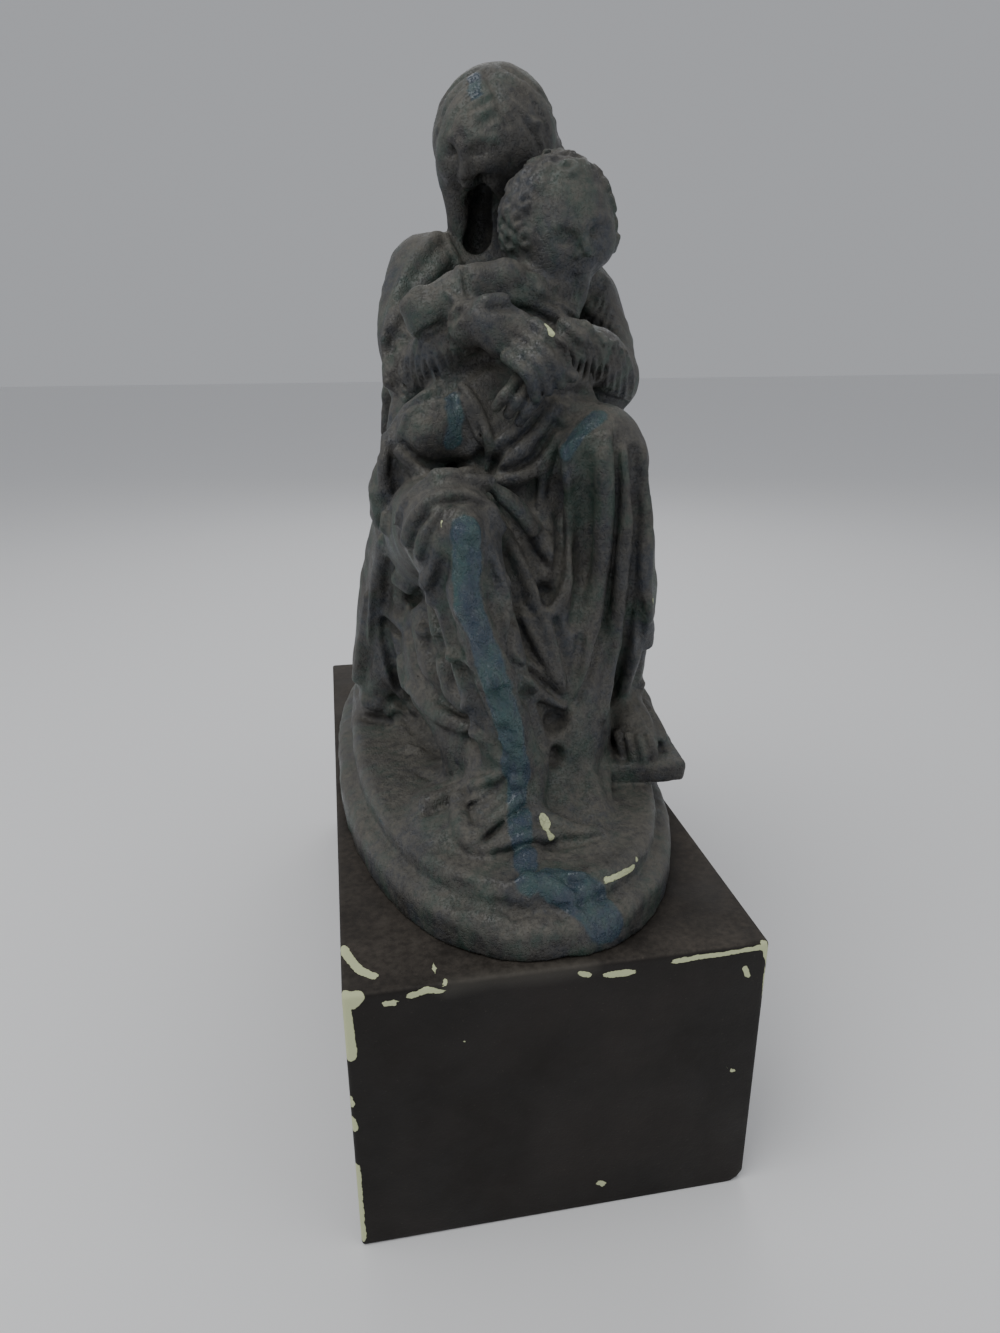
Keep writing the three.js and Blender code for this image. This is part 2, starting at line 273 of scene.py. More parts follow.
def spot(u, v, y):
    """The place behind a pixel of the photograph at a given depth along the plinth."""
    line = sight_line(u, v)
    return CAMERA_PLACE + line * (y - CAMERA_PLACE[1]) / line[1]


def rim(places, radii, blend=1.6):
    """A roll drawn on the photograph with its own depth at each pixel, for free edges of cloth."""
    limb([spot(*place) for place in places], radii, blend=blend)


def stroke(pixels, radii, blend, flat=1.0, lift=0.0, carve=False):
    for places, widths in seen(pixels, radii):
        raised = [place - cam_look * lift for place in places]
        limb(raised, widths, flat=flat, out=-cam_look, blend=blend, carve=carve, pieces=1)


def ridge(pixels, radii, blend=1.6, flat=1.0, lift=0.0):
    """A roll of clay laid along a line of the photograph."""
    stroke(pixels, radii, blend, flat, lift)


def crease(pixels, radii, blend=1.6, lift=0.0):
    """A groove pressed along a line of the photograph."""
    stroke(pixels, radii, blend, lift=lift, carve=True)


print("clay grid", grid_counts, "points", int(np.prod(grid_counts)))

# %% [markdown]
# The oval base is a turned moulding stretched to an oval: a fat half-round foot, a groove, and a
# deck that rises a little. A lathe section can't be stretched evenly, so the rim is measured in
# from the oval's edge, and the section's shapes are joined in that in-and-up plane.

# %% Oval base
OVAL_HALF_WIDTH, OVAL_HALF_LENGTH, OVAL_POWER = 65.5, 140.0, 2.3
MOULDING_HEIGHT, MOULDING_ROUND = 14.0, 6.0
GROOVE_INSET, DECK_ROUND, DECK_DOME = 6.5, 4.0, 2.5


def rounded_step(inset, height, edge, top, round_off):
    """Distance to a step that starts at edge and ends at top, with a rounded upper corner."""
    out = np.maximum(edge + round_off - inset, 0)
    up = np.maximum(height - (top - round_off), 0)
    inside = np.minimum(np.maximum(edge - inset, height - top), 0)
    corner = np.hypot(out, up) - round_off
    return np.where((out > 0) | (up > 0), corner, np.maximum(inside, -FAR)).astype(np.float32)


def oval_base():
    slices, x, y, z = part_of_grid(CLAY_LOW, [72, 146, deck + 12])
    ratio = ((np.abs(x) / OVAL_HALF_WIDTH) ** OVAL_POWER + (np.abs(y) / OVAL_HALF_LENGTH) ** OVAL_POWER)
    reach = np.maximum(ratio, 1e-6) ** (1 / OVAL_POWER)
    slope_x = (np.abs(x) / OVAL_HALF_WIDTH) ** (OVAL_POWER - 1) / OVAL_HALF_WIDTH
    slope_y = (np.abs(y) / OVAL_HALF_LENGTH) ** (OVAL_POWER - 1) / OVAL_HALF_LENGTH
    slope = np.hypot(slope_x, slope_y) * reach ** (1 - OVAL_POWER)
    inset = (1 - reach) / np.maximum(slope, 1 / OVAL_HALF_LENGTH)
    height = z - base_foot
    foot = rounded_step(inset, height, 0.0, MOULDING_HEIGHT, MOULDING_ROUND)
    top = BASE_HEIGHT + DECK_DOME * np.clip(1 - reach ** 2, 0, 1)
    plate = rounded_step(inset, height, GROOVE_INSET, top, DECK_ROUND)
    whole = soft_min(foot, plate, 1.5)
    whole = np.maximum(whole, -height)
    clay[slices] = np.minimum(clay[slices], whole)


oval_base()
print("base laid, deck at", round(deck, 1))

# %% [markdown]
# Now the big masses, from the ground up, before any detail, as a sculptor works: the mound, the
# seat under the cloth, legs, body, arms and heads. Every later fold lies on these, so they are
# settled first. Places are millimetres from the middle of the plinth's underside.

# %% Ground and seat
def ground():
    lump((0, 44, 126), (52, 80, 23), blend=8)
    lump((-38, 24, 130), (19, 24, 10), blend=5)
    lump((-14, -84, 126), (26, 26, 8), blend=6)
    lump((4, 30, 150), (44, 52, 40), blend=8)
ground()
slab_low, slab_high = np.array([31.0, -76.0, 126.5]), np.array([66.0, -34.0, 134.5])


def slab():
    middle, half = (slab_low + slab_high) / 2, (slab_high - slab_low) / 2
    slices, x, y, z = part_of_grid(slab_low - 8, slab_high + 8)
    turn = math.radians(-7)
    across = (x - middle[0]) * math.cos(turn) + (y - middle[1]) * math.sin(turn)
    along = (y - middle[1]) * math.cos(turn) - (x - middle[0]) * math.sin(turn)
    q = [np.abs(across) - half[0] + 2, np.abs(along) - half[1] + 2, np.abs(z - middle[2]) - half[2] + 2]
    outside = np.sqrt(sum(np.maximum(c, 0) ** 2 for c in q))
    inside = np.minimum(np.maximum(np.maximum(q[0], q[1]), q[2]), 0)
    merge(slices, (outside + inside - 2).astype(np.float32), 2.0)


slab()

# %% Legs and skirt
RIGHT_KNEE, LEFT_KNEE = (-24, -82, 228), (30.5, -57, 246)
RIGHT_ANKLE, LEFT_ANKLE = (-4, -86, 146), (44, -42, 154)
RIGHT_TOES, LEFT_TOES = (-8, -124, 130), (51, -60, 139)


def legs():
    limb([(-14, 12, 188), (-23, -40, 218), RIGHT_KNEE], [28, 20, 15], blend=8)
    limb([(22, 12, 192), (30, -30, 234), LEFT_KNEE], [28, 21, 17], blend=8)
    limb([(-22, -83, 222), (-14, -86, 188), RIGHT_ANKLE], [13, 12.5, 11], blend=6)
    limb([(32, -57, 240), (40, -56, 200), LEFT_ANKLE], [15.5, 14.5, 12], blend=6)


def skirt():
    limb([(8, -30, 228), (6, -48, 190), (5, -58, 145)], [29, 33, 33], flat=0.85, blend=8)
    lump((-6, -30, 168), (32, 42, 42), blend=8)
    limb([(-28, -22, 212), (-34, -6, 184), (-38, 12, 142)], [17, 16, 17], blend=7)
    limb([(36, -8, 215), (38, -14, 180), (38, -14, 140)], [17, 17, 18], blend=7)


legs()
skirt()
print("legs and skirt laid")

# %% Body and arms
RIGHT_SHOULDER, LEFT_SHOULDER = (-18, 12, 305), (40, 12, 297)
RIGHT_ELBOW, LEFT_ELBOW = (-25, -12, 271), (45, -18, 269)
RIGHT_WRIST, LEFT_WRIST = (-9, -50, 288), (22, -51, 283)


def torso():
    limb([(4, 26, 186), (7, 24, 240), (9, 18, 296)], [36, 34, 27], flat=0.8, blend=8)
    limb([RIGHT_SHOULDER, (11, 15, 306), LEFT_SHOULDER], [14, 18, 14], blend=7)
    lump((6, 0, 232), (38, 36, 36), blend=8)


def cloak():
    limb([(10, 26, 300), (9, 40, 250), (6, 52, 200), (4, 62, 150)], [27, 33, 37, 42], flat=0.62, blend=8)
    limb([(-16, 30, 220), (-28, 28, 175), (-36, 30, 136)], [20, 19, 17], blend=8)
    limb([(30, 26, 220), (36, 26, 175), (41, 26, 136)], [20, 19, 17], blend=8)


def arms():
    limb([RIGHT_SHOULDER, (-25, 4, 290), RIGHT_ELBOW], [16, 14, 13], blend=5)
    limb([LEFT_SHOULDER, (46, 0, 284), LEFT_ELBOW], [15, 13, 12], blend=5)
    limb([RIGHT_ELBOW, (-20, -34, 279), RIGHT_WRIST], [11.5, 9.5, 7], blend=3.5)
    limb([LEFT_ELBOW, (37, -36, 277), LEFT_WRIST], [11, 9.5, 7], blend=3.5)
    limb([(-24, 6, 280), (-26, 8, 244), (-28, 6, 210)], [13, 13.5, 14], blend=6)


torso()
cloak()
arms()

# %% Heads
MOTHER_HEAD, MOTHER_HALF = np.array([6.8, 4, 351.5]), np.array([22.5, 24, 23.5])
CHILD_HEAD, CHILD_HALF = np.array([23, -26, 321]), np.array([19.5, 19.5, 21])


def mother_head():
    lump(MOTHER_HEAD, MOTHER_HALF, blend=4)
    lump((-1, -8, 348), (13, 12, 14), turn=(40, 0, -30), blend=5)
    limb([(8, 16, 312), (8, 10, 336)], [13, 13], blend=5)
    limb([(-8, 2, 341), (-6, 5, 326), (-3, 10, 311)], [7, 5.5, 7], blend=3)
    limb([(24, 10, 344), (27, 14, 324), (30, 16, 304)], [12, 12, 14], blend=5)
def child_masses():
    lump(CHILD_HEAD, CHILD_HALF, blend=2.5)
    limb([(20, -24, 302), (8, -32, 284), (-8, -36, 260)], [15, 18, 18], blend=4)
    limb([(2, -40, 299), (-12, -43, 297), (-25, -42, 291)], [9.5, 9, 8], blend=2.5)
    limb([(-8, -36, 260), (-25, -42, 254), (-37, -34, 236), (-41, -30, 224)], [15, 12.5, 9, 6], blend=3)
    lump((16, -44, 262), (17, 16, 16), blend=5)
    lump((-40, -20, 221), (5, 8, 5), blend=2)


mother_head()
child_masses()
print("heads and child laid")

# %% [markdown]
# Loose ends of the body come next. A casting has no gaps behind its folds, since the mould has to
# come away, so the seat, the side of the skirt and the lap are filled before the folds go on.

# %% Filling
def filling():
    lump((4, 22, 168), (45, 50, 48), blend=8)
    lump((8, 2, 276), (24, 28, 22), blend=8)
    lump((2, -48, 246), (18, 14, 14), blend=6)
    limb([(-30, -20, 258), (-33, -8, 225), (-40, 6, 190), (-42, 10, 150)], [8, 10, 11, 14], blend=6)
    limb([(46, -12, 250), (46, -10, 200), (48, -14, 150)], [9, 12, 13], blend=6)
    limb([(28, 4, 318), (34, 8, 306), (42, 4, 296)], [10, 12, 12], blend=6)


filling()

# %% [markdown]
# The cloth is pulled tight over the knees, so its folds start there and run down to the hem.
# Each fold is a soft roll laid on the clay, and the hollow beside it is pressed in, because a
# roll without its hollow reads as a cord lying on the surface.

# %% Folds of the skirt
def fold(pixels, radii, hollow=0.9, blend=2.4, side=(7, 3), flat=1.0):
    """A roll of cloth, with the hollow that runs along one side of it."""
    shifted = [(u + side[0], v + side[1]) for u, v in pixels]
    if hollow:
        crease(shifted, [r * hollow for r in radii], blend=blend)
    ridge(pixels, radii, blend=blend, flat=flat, lift=0.35)


def right_knee_folds():
    rim([(391, 560, -70), (399, 518, -75), (424, 488, -80), (458, 480, -83), (490, 486, -79), (520, 510, -72),
         (556, 548, -64)], [1.4, 2.0, 2.2, 2.0, 2.2, 2.6, 1.6], blend=2.2)
    fold([(403, 552), (411, 520), (434, 496), (466, 492), (492, 508)], [1.4, 1.9, 1.8, 1.4, 1.0], side=(6, 6))
    fold([(418, 556), (424, 530), (440, 510)], [1.0, 1.4, 0.9], side=(5, 4))
    fold([(500, 498), (524, 520), (548, 552), (560, 572)], [1.6, 2.4, 2.6, 1.6], side=(-5, 8))
    fold([(492, 512), (512, 545), (536, 600), (552, 645), (563, 686)], [1.6, 2.2, 2.4, 2.2, 1.6], side=(9, -2), hollow=1.1)
    fold([(486, 540), (506, 580), (530, 630), (556, 680)], [1.2, 1.6, 1.8, 1.2], side=(-7, 3))
    fold([(562, 448), (569, 490), (572, 545), (567, 590), (549, 617), (530, 602)],
         [1.4, 2.0, 2.4, 2.4, 2.0, 1.2], side=(-9, -3), hollow=1.2)
    fold([(498, 570), (506, 604), (500, 644)], [1.6, 2.4, 1.6], side=(9, 0))
def left_shin_folds():
    fold([(566, 408), (552, 440), (543, 470), (540, 505)], [1.4, 1.8, 1.8, 1.2], side=(-7, 2))
    ridge([(566, 462), (566, 444), (576, 438), (590, 441), (600, 432)], [0.9, 1.1, 1.1, 1.1, 0.8], blend=1.0)
    crease([(584, 462), (586, 520), (582, 580), (576, 620)], [2.6, 3.4, 3.2, 2.0], blend=4)
    fold([(606, 436), (606, 500), (601, 560), (592, 625), (581, 668), (566, 704)],
         [1.6, 3.0, 3.4, 3.2, 2.6, 1.6], side=(11, 0), hollow=0.8)
    fold([(624, 452), (627, 520), (620, 600), (609, 668), (602, 716)], [1.2, 2.0, 2.6, 2.8, 2.0], side=(8, 2))
    fold([(643, 450), (647, 520), (645, 590), (636, 650), (618, 706)], [1.4, 2.2, 2.6, 2.6, 1.8], side=(-8, 0))
    fold([(648, 600), (648, 650), (640, 690)], [1.6, 2.4, 1.6], side=(-6, 2))
    crease([(580, 640), (576, 680), (566, 712)], [1.4, 2.2, 2.4], blend=2)
def hem_folds():
    fold([(446, 656), (482, 662), (520, 682), (562, 706)], [1.8, 3.0, 3.0, 1.8], side=(0, 11), hollow=1.0)
    fold([(498, 652), (530, 664), (562, 692)], [1.0, 1.5, 1.0], side=(2, 7))
    fold([(430, 588), (438, 640), (450, 690), (488, 730)], [1.8, 2.6, 3.0, 2.0], side=(-10, 4), hollow=1.0)
    fold([(398, 636), (406, 682), (436, 714), (480, 734)], [1.8, 2.6, 3.0, 2.2], side=(9, -8), hollow=1.0)
    fold([(382, 640), (394, 684), (424, 718)], [1.8, 2.6, 1.8], side=(-7, 5))
    fold([(383, 460), (387, 520), (376, 585), (373, 640), (390, 690)], [1.8, 2.2, 2.8, 2.8, 1.8], side=(10, 0))
    fold([(392, 576), (410, 586), (430, 580), (442, 560)], [2.2, 3.0, 2.4, 1.4], side=(0, 11), hollow=1.0)
    fold([(388, 612), (410, 628), (432, 634)], [2.0, 2.8, 2.0], side=(0, 10), hollow=1.0)
    fold([(367, 596), (364, 640), (355, 684)], [1.8, 2.4, 1.8], side=(9, 0), hollow=0.6)
    fold([(376, 496), (380, 512), (378, 530)], [2.4, 2.8, 1.8], side=(8, 0), hollow=0.4)
def hollows():
    """The deep holes of the lower drapery, each by its pixel and its half sizes across, in and up."""
    for pixel, half in (
        ((416, 598), (4.5, 6, 4.5)),
        ((438, 648), (4.0, 6, 3.4)),
        ((474, 742), (5.0, 6, 3.0)),
        ((556, 724), (4.5, 6, 4.0)),
        ((544, 592), (3.4, 4, 3.0)),
        ((484, 462), (3.4, 6, 5.0)),
        ((452, 566), (2.6, 4, 5.0)),
    ):
        place = strike(CAMERA_PLACE, sight_line(*pixel))
        lump(place, half, blend=2.2, carve=True)
right_knee_folds()
left_shin_folds()
hem_folds()
hollows()
print("skirt folds laid")

# %% Right shin and glazed run
SHIN_RUN = [(466, 528), (468, 562), (466, 600), (484, 644), (498, 690), (510, 730), (516, 776)]


def right_shin():
    ridge(SHIN_RUN, [4.8, 5.2, 5.4, 5.0, 5.0, 5.0, 4.2], blend=4, flat=0.8)
    crease([(440, 560), (440, 590), (450, 640), (472, 700), (498, 752)], [1.8, 2.6, 2.8, 2.8, 2.4], blend=2.5)
    crease([(492, 600), (508, 650), (532, 700), (544, 760)], [1.2, 1.8, 2.0, 2.0], blend=2.5)
    chance = np.random.default_rng(8)
    for step in np.linspace(0, 1, 40):
        at = step * (len(SHIN_RUN) - 1)
        u, v = (np.interp(at, range(len(SHIN_RUN)), [p[n] for p in SHIN_RUN]) for n in (0, 1))
        u, v = u + chance.uniform(-12, 12), v + chance.uniform(-4, 4)
        ridge([(u, v), (u + chance.uniform(2, 9), v + chance.uniform(6, 16))], [1.0, 0.7], blend=1.4, flat=0.7)
    ridge([(458, 530), (466, 538), (474, 530)], [1.8, 2.4, 1.8], blend=2.0)
    lump(strike(CAMERA_PLACE, sight_line(515, 781)), (2.6, 2.4, 2.6), blend=1.0)
    lump(strike(CAMERA_PLACE, sight_line(527, 878)), (2.8, 2.4, 2.8), blend=1.2)
right_shin()

# %% Lap and child's leg
def lap():
    fold([(398, 452), (420, 474), (446, 476), (474, 470)], [1.8, 2.4, 2.0, 1.4], side=(2, -8))
    fold([(472, 478), (508, 482), (540, 468), (558, 436)], [1.4, 2.4, 2.4, 1.4], side=(0, -9))
    fold([(500, 470), (520, 452), (542, 428), (558, 402)], [1.2, 1.9, 1.9, 1.2], side=(-7, -6))
    fold([(500, 440), (522, 424), (544, 400)], [1.0, 1.5, 1.0], side=(-6, -5))
    ridge([(458, 382), (470, 396), (482, 420), (490, 446), (487, 470)], [1.4, 1.9, 2.0, 1.9, 1.4], blend=0.9, lift=1.4)
    ridge([(462, 400), (472, 420), (478, 440)], [1.0, 1.5, 1.0], blend=1.0, lift=0.6)
lap()

# %% [markdown]
# The sleeves are gathered, so fine pleats run around each forearm. One loop lays them: it walks
# along the upper and the lower edge of the sleeve and joins the two with a thin bent roll.

# %% Sleeves
def pleats(upper, lower, count, radius, bow):
    """Thin rolls from one edge of a sleeve to the other. bow bends each sideways."""
    for step in np.linspace(0, 1, count):
        top, bottom = (np.array([np.interp(step, np.linspace(0, 1, len(edge)), [p[n] for p in edge])
                                 for n in (0, 1)]) for edge in (upper, lower))
        middle = (top + bottom) / 2 + np.array(bow)
        ridge([top, middle, bottom], [radius * 0.8, radius * 1.3, radius * 0.8], blend=0.6, lift=0.5)


def sleeves():
    pleats([(400, 346), (430, 336), (470, 314)], [(398, 392), (432, 386), (476, 352)], 12, 0.95, (-6, 2))
    pleats([(392, 352), (386, 366), (384, 380)], [(424, 396), (416, 402), (404, 406)], 4, 1.1, (-6, 6))
    pleats([(572, 340), (600, 344), (626, 350)], [(572, 378), (602, 386), (630, 400)], 10, 0.9, (5, 0))
    pleats([(596, 286), (610, 308), (624, 334)], [(580, 316), (592, 334), (604, 344)], 7, 0.9, (4, 4))
    ridge([(438, 236), (414, 262), (396, 296), (388, 336)], [1.4, 2.2, 2.2, 1.2], blend=4)
    ridge([(448, 256), (426, 284), (406, 306), (388, 332)], [1.2, 1.8, 1.8, 1.2], blend=4)
    ridge([(446, 236), (458, 264), (464, 296), (462, 312)], [1.2, 1.6, 1.6, 1.2], blend=1.2)
    fold([(384, 340), (388, 380), (386, 430), (384, 470)], [1.4, 2.0, 2.0, 1.4], side=(7, 0), hollow=0.6)
sleeves()
print("sleeves pleated")

# %% [markdown]
# A hand is a palm, four fingers and a thumb. Each finger is one tapering limb with a slight swell
# at its joints. The lower hand shows only its fingers, which come out under the upper one.

# %% Hands
def hands():
    limb([spot(466, 324, -55), spot(490, 320, -60), spot(516, 330, -62)], [6.6, 7.4, 6.4], flat=0.75, blend=3)
    lump(spot(508, 340, -60), (8, 6, 6), blend=3)
    roots = [np.array([534 - 9 * n, 324 + 11 * n]) for n in range(4)]
    tips = [np.array([572 - 12 * n, 376 + 7.5 * n]) for n in range(4)]
    for root, tip in zip(roots, tips):
        bend = root * 0.45 + tip * 0.55 + np.array([4, -6])
        limb([spot(*root, -66), spot(*bend, -72), spot(*tip, -69)], [2.4, 2.5, 1.9], blend=0.4)
    for n in range(3):
        root, tip = np.array([518 + 11 * n, 378 + 7 * n]), np.array([496 + 12 * n, 407 + 7 * n])
        limb([spot(*root, -63), spot(*((root + tip) / 2), -66.5), spot(*tip, -64)], [2.3, 2.4, 1.9], blend=0.5)
hands()
print("hands laid")

# %% [markdown]
# The faces are calm and general: eyes at half the head's height, the nose down to halfway between
# the eyes and the chin, the mouth a third of the way below the nose. One function makes both, as
# the child's differs only in its proportions: a higher brow, rounder cheeks and a smaller nose.

# %% Faces
class HeadFrame:
    """Places given as shares of a head's width, height and depth, from its middle."""

    def __init__(self, middle, forward, up, half):
        self.middle = np.array(middle, float)
        self.forward = np.array(forward, float) / np.linalg.norm(forward)
        side = np.cross(self.forward, up)
        self.side = side / np.linalg.norm(side)
        self.up = np.cross(self.side, self.forward)
        self.half = half

    def surface(self, across, rise, lift=0.0):
        """The skin at a share across and up, lifted by millimetres."""
        start = self.middle + self.side * across * self.half[0] + self.up * rise * self.half[1]
        skin = strike(start + self.forward * self.half[1] * 2, -self.forward)
        return skin + self.forward * lift


def face(head, eye_rise, nose_rise, mouth_rise, chin_rise, nose_size, cheek):
    width, height = head.half
    for side in (-1, 1):
        lump(head.surface(side * 0.36, eye_rise, 0.6), (0.25 * width, 0.11 * height, 0.14 * height), blend=2.5, carve=True)
        lump(head.surface(side * 0.46, (eye_rise + mouth_rise) / 2, -cheek * 0.9), (cheek, cheek, cheek), blend=6)
    for side in (-1, 1):
        lump(head.surface(side * 0.36, eye_rise, -1.5), (0.15 * width, 0.13 * width, 0.12 * width), blend=0.8)
        brow = [head.surface(side * a, eye_rise + r, -0.8) for a, r in ((0.12, 0.12), (0.36, 0.21), (0.62, 0.12))]
        limb(brow, [1.2, 1.5, 1.0], blend=2)
        lids = [head.surface(side * a, eye_rise + r, 0.1) for a, r in ((0.2, -0.02), (0.36, -0.075), (0.53, -0.02))]
        limb(lids, [0.35, 0.5, 0.35], blend=0.6, carve=True)
    bridge = head.surface(0, eye_rise + 0.1, -0.8)
    tip = head.surface(0, nose_rise + 0.06, nose_size * 0.9)
    limb([bridge, (bridge + tip) / 2, tip], [1.4, nose_size * 0.62, nose_size * 0.8], blend=1.6)
    for side in (-1, 1):
        lump(head.surface(side * 0.13, nose_rise + 0.02, 0.2), (nose_size * 0.7,) * 3, blend=1)
    lump(head.surface(0, mouth_rise, -1.6), (0.22 * width, 2.6, 0.12 * height), blend=2.5)
    seam = [head.surface(a, mouth_rise, 0.0) for a in (-0.2, -0.1, 0, 0.1, 0.2)]
    for lip_rise in (0.75, -0.75):
        limb([place + head.up * lip_rise - head.forward * 0.45 for place in seam], [0.4, 0.75, 0.85, 0.75, 0.4], blend=1.0)
    limb([place + head.forward * 0.35 for place in seam], [0.25, 0.35, 0.4, 0.35, 0.25], blend=0.5, carve=True)
    lump(head.surface(0, chin_rise, -2.2), (3.6, 3.4, 3.4), blend=3)


mother_face_frame = HeadFrame((0.5, -3, 353), (-0.46, -0.70, -0.54), (-0.25, -0.45, 0.85), (16.5, 18))
face(mother_face_frame, 0.05, -0.36, -0.56, -0.82, 2.5, 4.4)
child_face_frame = HeadFrame((24, -27, 319), (0.18, -0.96, -0.12), (-0.2, -0.05, 0.97), (18, 21))
face(child_face_frame, -0.04, -0.34, -0.54, -0.80, 2.2, 5.4)
print("faces laid")

# %% [markdown]
# Hair is modelled in locks, not single hairs. The mother's is parted in the middle and drawn back
# in waves. The child's is short curls, and each curl is a small open ring pressed into the head.

# %% Hair
def on_head(middle, around, rise, lift=0.0):
    """A place on a head, by degrees around from the front and up from its middle."""
    a, r = math.radians(around), math.radians(rise)
    outward = np.array([math.sin(a) * math.cos(r), -math.cos(a) * math.cos(r), math.sin(r)])
    return strike(np.array(middle) + outward * 34, -outward) + outward * lift


HAIR_TURN = -24
LOCKS_A_SIDE = 8
CURL_SPACING = 7.4
FACE_CLEAR = math.cos(math.radians(50))


def mother_hair():
    for lock in ([(487, 74), (464, 84), (447, 108), (440, 134)], [(492, 84), (472, 94), (456, 112), (446, 138)],
                 [(497, 95), (482, 104), (468, 112)], [(502, 108), (492, 118), (478, 122)],
                 [(490, 72), (516, 82), (540, 106), (552, 138)], [(496, 84), (518, 96), (536, 118), (546, 148)],
                 [(502, 97), (518, 110), (530, 128), (538, 150)], [(506, 112), (516, 124), (524, 142)],
                 [(500, 66), (526, 76), (548, 100)], [(476, 68), (456, 82), (442, 106)]):
        wavy = [(u + 2.5 * math.sin(v * 0.22), v) for u, v in lock]
        crease(wavy, [0.5, 0.9, 0.9, 0.5], blend=1.4)
    part = [(484, 64), (490, 82), (500, 102), (507, 124)]
    crease(part, [0.8, 1.2, 1.2, 0.8], blend=1.2)
    for side in (-1, 1):
        for lock in range(LOCKS_A_SIDE):
            low = 66 - 15 * lock
            places = []
            for step in np.linspace(0.0, 1.0, 8):
                wave = 2.6 * math.sin(step * 13 + lock * 1.7)
                rise = low * (1 - step) + (low * 0.4 - 14) * step
                places.append(on_head(MOTHER_HEAD, HAIR_TURN + side * (86 + 90 * step), rise + wave, 0.2))
            limb(places, [0.7, 1.0, 1.1, 1.0, 0.7], blend=1.4, carve=True)
    lump(on_head(MOTHER_HEAD, 178, -18, -1.5), (10, 8, 8), blend=3)
def child_hair():
    for ring, rise in enumerate((84, 66, 49, 32, 15, -2, -19)):
        reach = math.cos(math.radians(rise)) * CHILD_HALF[0]
        count = max(4, int(2 * math.pi * reach / CURL_SPACING))
        for n in range(count):
            around = 360 * (n + 0.5 * (ring % 2)) / count
            a, r = math.radians(around), math.radians(rise)
            outward = np.array([math.sin(a) * math.cos(r), -math.cos(a) * math.cos(r), math.sin(r)])
            if outward @ child_face_frame.forward < FACE_CLEAR:
                curl(CHILD_HEAD, around, rise, 2.7 + 0.5 * math.sin(n * 2.3 + ring), 40 * n)
def curl(middle, around, rise, size, turn):
    centre = on_head(middle, around, rise, -0.5)
    outward = (centre - np.array(middle)) / np.linalg.norm(centre - np.array(middle))
    across = np.cross(outward, (0.1, 0.2, 1.0))
    across /= np.linalg.norm(across)
    along = np.cross(outward, across)
    places = []
    for step in np.linspace(0, 1, 7):
        angle = math.radians(turn + 330 * step)
        radius = size * (1.15 - 0.55 * step)
        places.append(centre + across * radius * math.cos(angle) + along * radius * math.sin(angle) + outward * step * 1.0)
    limb(places, [0.9, 1.35, 1.4, 1.3, 1.1], blend=0.9, pieces=3)


mother_hair()
child_hair()
print("hair laid")

# %% Child's clothing and arms
def child_details():
    for pixel, depth, half in (((478, 282), -47, (7, 5, 6.5)), ((506, 278), -47, (7, 5, 6)), ((530, 288), -46, (6, 4, 5))):
        lump(spot(*pixel, depth), half, blend=2)
    lump(spot(436, 312, -44), (7.5, 7, 8), turn=(0, 25, 0), blend=1.5)
    ridge([(442, 288), (457, 300), (460, 322)], [1.2, 1.6, 1.0], blend=1)
    crease([(462, 262), (468, 290), (470, 306)], [0.8, 1.2, 0.8], blend=1.2)
    fold([(486, 300), (520, 298), (552, 312), (580, 340)], [1.2, 1.8, 2.0, 1.4], side=(4, 8))
    fold([(540, 292), (566, 306), (590, 330)], [1.0, 1.5, 1.0], side=(5, 6))
    fold([(556, 290), (582, 306), (600, 322)], [0.9, 1.3, 0.9], side=(5, 6), hollow=0.5)
    ridge([(398, 440), (406, 414), (426, 402), (448, 402)], [1.0, 1.4, 1.4, 0.8], blend=1.6)


child_details()

# %% [markdown]
# Undercuts make the darkest lines of the figure: under the forearms, around the child's head and
# between the heads. They go in last among the large forms, so nothing laid later fills them.

# %% Undercuts
def undercuts():
    crease([(398, 408), (430, 396), (460, 376), (484, 358), (506, 366)], [2.2, 2.8, 3.0, 2.6, 1.4], blend=2)
    crease([(388, 332), (412, 342), (440, 328), (466, 307)], [1.2, 2.0, 2.0, 1.2], blend=1.5)
    crease([(560, 394), (590, 392), (616, 404), (632, 406)], [1.8, 2.4, 2.4, 1.6], blend=2)
    crease([(550, 340), (566, 356), (578, 374)], [1.6, 2.4, 1.8], blend=1.2)
    crease([(552, 292), (580, 298), (600, 288), (611, 270)], [2.2, 2.8, 2.4, 1.4], blend=2)
    for depth in (-14, -5, 4):
        limb([spot(486, 176, depth), spot(481, 205, depth), spot(477, 244, depth)], [3.0, 5.6, 5.6], blend=1.5, carve=True)
undercuts()

# %% [markdown]
# The ground is a rock with the hem lying on it in front, a flat stone under the raised foot, and
# toes where the dress ends. Small stones break up the plain deck.

